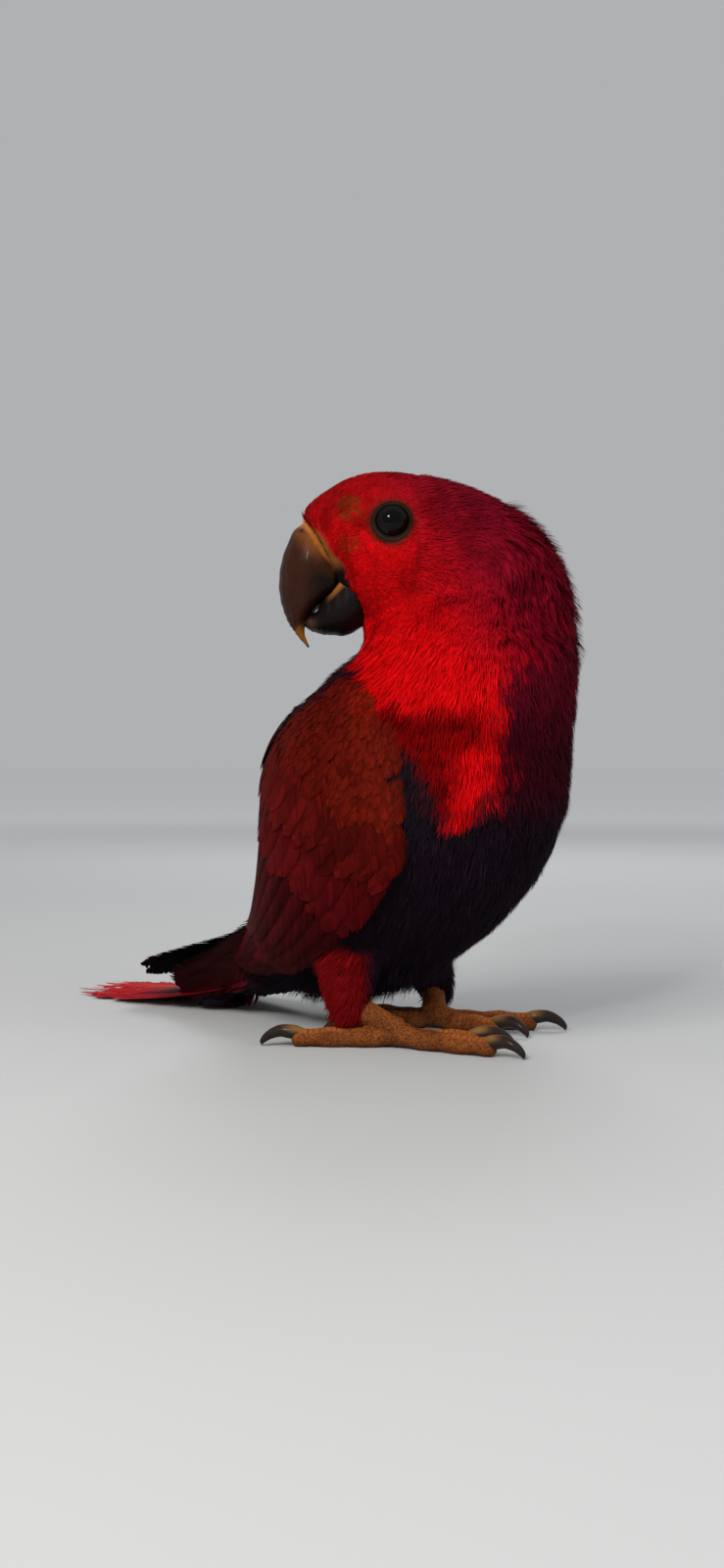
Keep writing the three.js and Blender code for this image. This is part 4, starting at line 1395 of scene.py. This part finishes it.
def make_eye(side_name, material):
    """Ball with a bulging cornea, near-black pupil and dark brown iris"""
    side = SIDES[side_name]
    rows, columns = 60, 64
    off = np.linspace(0.5, 150, rows)[:, None] * DEG
    around = circle(columns)
    radius = EYE_RADIUS - 0.1 + 0.3 * smooth(-off / DEG, -42, -24)
    forward = EYE_FORWARD + radius * np.sin(off) * np.cos(around)
    z = EYE_Z + radius * np.sin(off) * np.sin(around)
    points = from_head(forward, side * (EYE_OUT + radius * np.cos(off)), z).reshape(-1, 3)
    degrees = np.broadcast_to(off / DEG, (rows, columns)).ravel()
    made = blend(PUPIL_BLACK, IRIS_BROWN, smooth(degrees, 23, 25))
    made = blend(made, IRIS_BROWN * 0.3, smooth(degrees, 38, 47))
    piece = closed_piece(f"eye_{side_name}_ball", points, rows, columns, material, made)
    mount(piece, "eye", f"eye_{side_name}")


def make_eye_ring(side_name, surface, material):
    """Lids and beaded bare skin that run from the ball out to the first feathers"""
    side = SIDES[side_name]
    rows, columns = 26, 120
    share = np.linspace(0, 1, rows)[:, None]
    around = circle(columns)
    squeeze = 1 - 0.07 * np.abs(np.sin(around))
    low = smooth(-np.sin(around - 0.4), 0, 0.9)
    inner, outer = APERTURE * squeeze, RING_OUT + 0.55 * low + 0.12 * np.sin(around * 3 + 1)
    r = inner + (outer - inner) * share
    forward = EYE_FORWARD + r * np.cos(around)
    z = EYE_Z + r * np.sin(around)
    start = from_head(forward, side * PROBE_FROM, z)
    inward = Vector(from_head(0, -side, 0) - from_head(0, 0, 0))
    reach = np.empty(r.shape)
    for place in np.ndindex(r.shape):
        hit = surface.tree.ray_cast(Vector(start[place]), inward)
        reach[place] = PROBE_FROM - hit[3] if hit[0] is not None else HEAD_OUT
    outside = reach[-1] + 0.1
    on_ball = EYE_OUT + np.sqrt(np.maximum(EYE_RADIUS ** 2 - r ** 2, 0.5))
    rise = on_ball[0] * (1 - share) + outside[None] * share
    lid = np.exp(-((share - 0.13) / 0.1) ** 2)
    ridge = 0.3 * lid + (0.08 + 0.2 * low) * np.exp(-((share - 0.5) / 0.17) ** 2)
    beads = np.sin(around * 24 + 6 * share) * lid * 0.09
    grains = 0.12 * np.sin(around * 37 + share * 19) * np.sin(share * 25) * smooth(share, 0.25, 0.5)
    rise = rise + ridge + beads + grains - 0.5 * smooth(-share, -0.03, 0)
    points = from_head(forward, side * rise, z).reshape(-1, 3)
    shares = np.broadcast_to(share, r.shape).ravel()
    low = np.broadcast_to(np.sin(around), r.shape).ravel()
    made = blend(RIM_SKIN, RING_SKIN, smooth(shares, 0.16, 0.36))
    made = made * (0.8 + 0.35 * smooth(-low, -0.3, 0.8) + 0.3 * (patchy(points, 0.9, 61) - 0.5))[:, None]
    made = blend(made, RED_CROWN * 0.5, smooth(shares, 0.8, 1.0) * 0.6)
    piece = closed_piece(f"eye_{side_name}_ring", points, rows, columns, material, made, fill=False)
    if piece.data.polygons[0].normal.dot(inward) > 0:
        piece.data.flip_normals()
    mount(piece, "foot_skin", "head")


def tube(points, radii, rows, columns=22):
    """Rings of a round body through points, with its radius at each"""
    t = np.linspace(0, len(points) - 1, rows)
    line = table(points, t)
    radius = table(np.array(radii)[:, None], t)[:, 0]
    along = unit(np.gradient(line, axis=0))
    side = unit(np.cross(UP, along))
    up = np.cross(along, side)
    around = circle(columns)
    ring = side[:, None] * np.cos(around)[None, :, None] + up[:, None] * np.sin(around)[None, :, None]
    return line[:, None] + ring * radius[:, None, None]


def toe_heading(foot, toe):
    angle = (FEET_TURN + foot["side"] * toe[0]) * DEG
    return np.array([math.cos(angle), math.sin(angle), 0.0])


SOLE_GAP, CLAW_GAP = 0.05, 0.18  # lowest points above the ground
FOOT_GOLD = srgb(132, 72, 30)
FOOT_BROWN = srgb(82, 42, 19)


def toe_places(foot, points):
    """Distance along and aside of the nearest toe, for points of a foot"""
    along, aside = np.full(len(points), -1.0), np.full(len(points), 99.0)
    for toe in TOES.values():
        heading = toe_heading(foot, toe)
        offset = points - np.array([*foot["hub"], 0.0])
        far = offset @ heading
        off = np.abs(offset @ np.cross(UP, heading))
        nearer = (off < aside) & (far > 3) & (far < toe[1] + 2)
        along, aside = np.where(nearer, toe[1] - far, along), np.where(nearer, off, aside)
    return along, aside


def make_foot(side_name, material):
    """Four toes and a shank: swollen joints, soft pads, plates on top of the toes, fine grains elsewhere"""
    foot = FEET[side_name]
    hub = np.array([*foot["hub"], 4.6])
    knee = np.array([foot["thigh"][0] + 2, foot["thigh"][1], 12.0])
    parts = [tube([hub, (hub + knee) / 2, knee, knee + [0, 0, 3]], [4.2, 3.7, 4.1, 4.1], 24)]
    for toe in TOES.values():
        heading, length, r = toe_heading(foot, toe), toe[1], toe[2]
        share = np.concatenate([np.linspace(0, 1, 33), [1.02, 1.035, 1.045, 1.05]])
        size = np.interp(share, [0, 0.2, 0.4, 0.6, 0.8, 0.95, 1], [1.1, 1.0, 0.93, 0.96, 0.9, 0.84, 0.76])
        size = size + 0.07 * np.cos(share * 6 * math.pi)
        size[-4:] = size[-5] * np.array([0.9, 0.72, 0.48, 0.12])
        line = hub * [1, 1, 0] + heading * (length * share)[:, None]
        line[:, 2] = r * 0.98 - PAD_FLAT + 1.3 * (1 - smooth(share, 0, 0.3)) - 0.15 * smooth(share, 0.8, 1)
        parts.append(tube(line, r * size, 90))
    joined = bmesh.new()
    for rings in parts:
        piece = closed_piece("scrap", rings, *rings.shape[:2], material)
        joined.from_mesh(piece.data)
        bpy.data.objects.remove(piece)
    made = remeshed(add_object("whole", mesh_of(joined, "whole")), f"foot_{side_name}_skin", 0.3 * COARSER)
    relaxed(made.data, 4)
    points, normals = points_of(made.data), normals_of(made.data)
    height = np.empty(len(points))
    for k, p in enumerate(points):
        near = noise.voronoi(Vector(p * 1.55))[0]
        height[k] = near[1] - near[0]
    grain = smooth(height, 0.0, 0.34)
    along, aside = toe_places(foot, points)
    wave = np.abs((along / 1.75 + 0.12 * np.sin(points @ [1.1, 1.7, 0.4])) % 1 - 0.5) * 2
    plate = smooth(-wave, -0.94, -0.72)
    on_top = smooth(normals[:, 2], 0.35, 0.75) * smooth(-aside, -2.6, -1.6) * smooth(along, -0.5, 1.5)
    on_top = on_top * smooth(-along, -17, -12)
    raised = blend(grain[:, None], plate[:, None], on_top)[:, 0]
    rough = (raised - 0.6) * (0.1 + 0.08 * on_top) + (patchy(points, 3, 71) - 0.5) * 0.22
    points = points + normals * rough[:, None]
    points[:, 2] = np.maximum(points[:, 2], SOLE_GAP)
    move_to(made.data, points)
    tint = blend(FOOT_BROWN * 0.8, FOOT_GOLD, np.clip(raised, 0, 1))
    tint = tint * (0.66 + 0.5 * patchy(points, 3.5, 73))[:, None] * (1 + 0.25 * on_top)[:, None]
    # Painted shade: the foot is darker within 1.5 mm of the ground
    paint(made.data, material, blend(tint, FOOT_BROWN * 0.5, smooth(-points[:, 2], -1.5, 0) * 0.7))
    mount(made, "foot_skin", f"foot_{side_name}")


SHORT_TOE = 22  # a toe up to this length has a smaller claw
CLAW_DARK = srgb(34, 26, 22)
CLAW_BASE_GOLD = srgb(116, 80, 44)
# Claw's middle line: reach, and height above its root
CLAW_SHAPE = [[-3, 0], [0, 0.5], [0.42, 0.9], [0.78, -0.3], [1, -2.1], [1.03, -3.4]]


def make_claw(side_name, toe_name, material):
    """Horn that leaves the toe level, arches and comes down to the ground in a point"""
    foot, toe = FEET[side_name], TOES[toe_name]
    heading = toe_heading(foot, toe)
    size = 1 if toe[1] > SHORT_TOE else 0.8
    root = np.array([*foot["hub"], CLAW_RISE]) + heading * (toe[1] + 0.6)
    stations = [root + heading * (out if k == 0 else out * CLAW_REACH * size) + UP * up
                for k, (out, up) in enumerate(CLAW_SHAPE)]
    rows, columns = 44, 24
    rings = tube(stations, [1.5, CLAW_BASE * 0.97, 1.85, 1.4, 0.9, 0.22], rows, columns)
    points = rings.reshape(-1, 3)
    points[:, 2] = np.maximum(points[:, 2], CLAW_GAP)
    share = np.repeat(np.linspace(0, 1, rows), columns)
    above = (points[:, 2] - np.repeat(rings.mean(1)[:, 2], columns)) / 2
    made = blend(CLAW_DARK, CLAW_BASE_GOLD, smooth(-share, -0.42, -0.2) * smooth(above, -0.2, 0.8))
    made = made * (0.8 + 0.4 * patchy(points, 1.5, 81))[:, None]
    name = f"claw_{side_name}_{toe_name}"
    piece = closed_piece(f"{name}_horn", points, rows, columns, material, made, grain=True)
    mount(piece, "claw_horn", name)


# Studio

CAMERA_TURN, CAMERA_AWAY, CAMERA_HEIGHT, CAMERA_ASIDE = 45, 500, 84, -16.8
PHOTO_HIGH, FOCAL_PIXELS, HORIZON_PIXEL = 1600, 1650, 780
SENSOR = 36
LIT_HEIGHT = 0.09  # metres


def make_camera():
    """Camera at the photograph's angle and height, nearly level"""
    c, s = math.cos(CAMERA_TURN * DEG), math.sin(CAMERA_TURN * DEG)
    back, right = np.array([s, -c, 0]), np.array([c, s, 0])
    lens = bpy.data.cameras.new("camera")
    lens.sensor_width = SENSOR
    lens.lens = SENSOR * FOCAL_PIXELS / PHOTO_HIGH
    lens.clip_start = 0.01
    made = add_object("camera", lens)
    made.location = to_row(back * CAMERA_AWAY + right * CAMERA_ASIDE + UP * CAMERA_HEIGHT)
    down = math.atan((PHOTO_HIGH / 2 - HORIZON_PIXEL) / FOCAL_PIXELS)
    made.rotation_euler = (math.pi / 2 - down, 0, CAMERA_TURN * DEG)
    bpy.context.scene.camera = made


def make_light(name, turn, away, height, size, power, colour, glossy=False):
    """Square light round the bird, aimed at its middle; only a glossy one shows in shiny parts"""
    light = bpy.data.lights.new(name, "AREA")
    light.size, light.energy, light.color = size, power, colour
    made = add_object(name, light)
    spot = Vector((math.sin(turn * DEG) * away, -math.cos(turn * DEG) * away, height))
    made.location = spot
    made.rotation_euler = (Vector((0, 0, LIT_HEIGHT)) - spot).to_track_quat("-Z", "Y").to_euler()
    made.visible_glossy = glossy


FLOOR_HALF = 30  # metres


def make_studio():
    finish = Finish("pale floor", Roughness=0.85, Specular_IOR_Level=0.1)
    away = finish.node("ShaderNodeVectorMath", {0: finish.place()}, 1, operation="LENGTH").between(0.45, 2.1)
    greys = {0: away, 6: (0.4, 0.4, 0.4, 1), 7: (0.98, 0.98, 0.98, 1)}
    finish.set("Base Color", finish.node("ShaderNodeMix", greys, 2, data_type="RGBA"))
    mesh = bpy.data.meshes.new("floor")
    corners = [(FLOOR_HALF * x, FLOOR_HALF * y, 0) for x, y in ((-1, -1), (1, -1), (1, 1), (-1, 1))]
    mesh.from_pydata(corners, [], [(0, 1, 2, 3)])
    mesh.materials.append(finish.material)
    add_object("floor", mesh)
    world = bpy.data.worlds.new("studio")
    world.use_nodes = True
    background = world.node_tree.nodes["Background"].inputs
    background["Color"].default_value = (0.86, 0.88, 0.9, 1)
    background["Strength"].default_value = 0.5
    bpy.context.scene.world = world
    make_light("key", 15, 0.8, 0.7, 0.45, 8, (1, 0.97, 0.93))
    make_light("fill", 95, 0.9, 0.35, 0.7, 3.5, (0.94, 0.97, 1))
    make_light("rim", 215, 0.8, 0.8, 0.4, 5.5, (0.96, 0.98, 1))
    make_light("sparkle", 28, 0.8, 0.5, 0.085, 2.3, (1, 1, 1), glossy=True)
    bpy.context.scene.view_settings.view_transform = "Standard"


COARSER = 1.0  # factor on the distance between feathers


def main():
    make_camera()
    skin = mount(make_skin(down()), "red_plumage", *FLESH)
    surface = Surface(skin)
    soft, vanes = plumage(), vane_finish()
    make_soft_coat(skin, surface, soft)
    for side_name in SIDES:
        make_wing(side_name, skin, surface, vanes)
    make_plumes(skin, surface, vanes)
    make_tail(surface, vanes)
    bill = horn("bill horn", 0.4, 0.05)
    make_upper_bill(bill)
    make_lower_bill(bill)
    eye, ring = wet_eye(), bare_ring()
    for side_name in SIDES:
        make_eye(side_name, eye)
        make_eye_ring(side_name, surface, ring)
    foot_skin, claw = scaled_skin(), horn("claw horn", 0.36, 0.2)
    for side_name in SIDES:
        make_foot(side_name, foot_skin)
        for toe_name in TOES:
            make_claw(side_name, toe_name, claw)
    make_studio()


main()
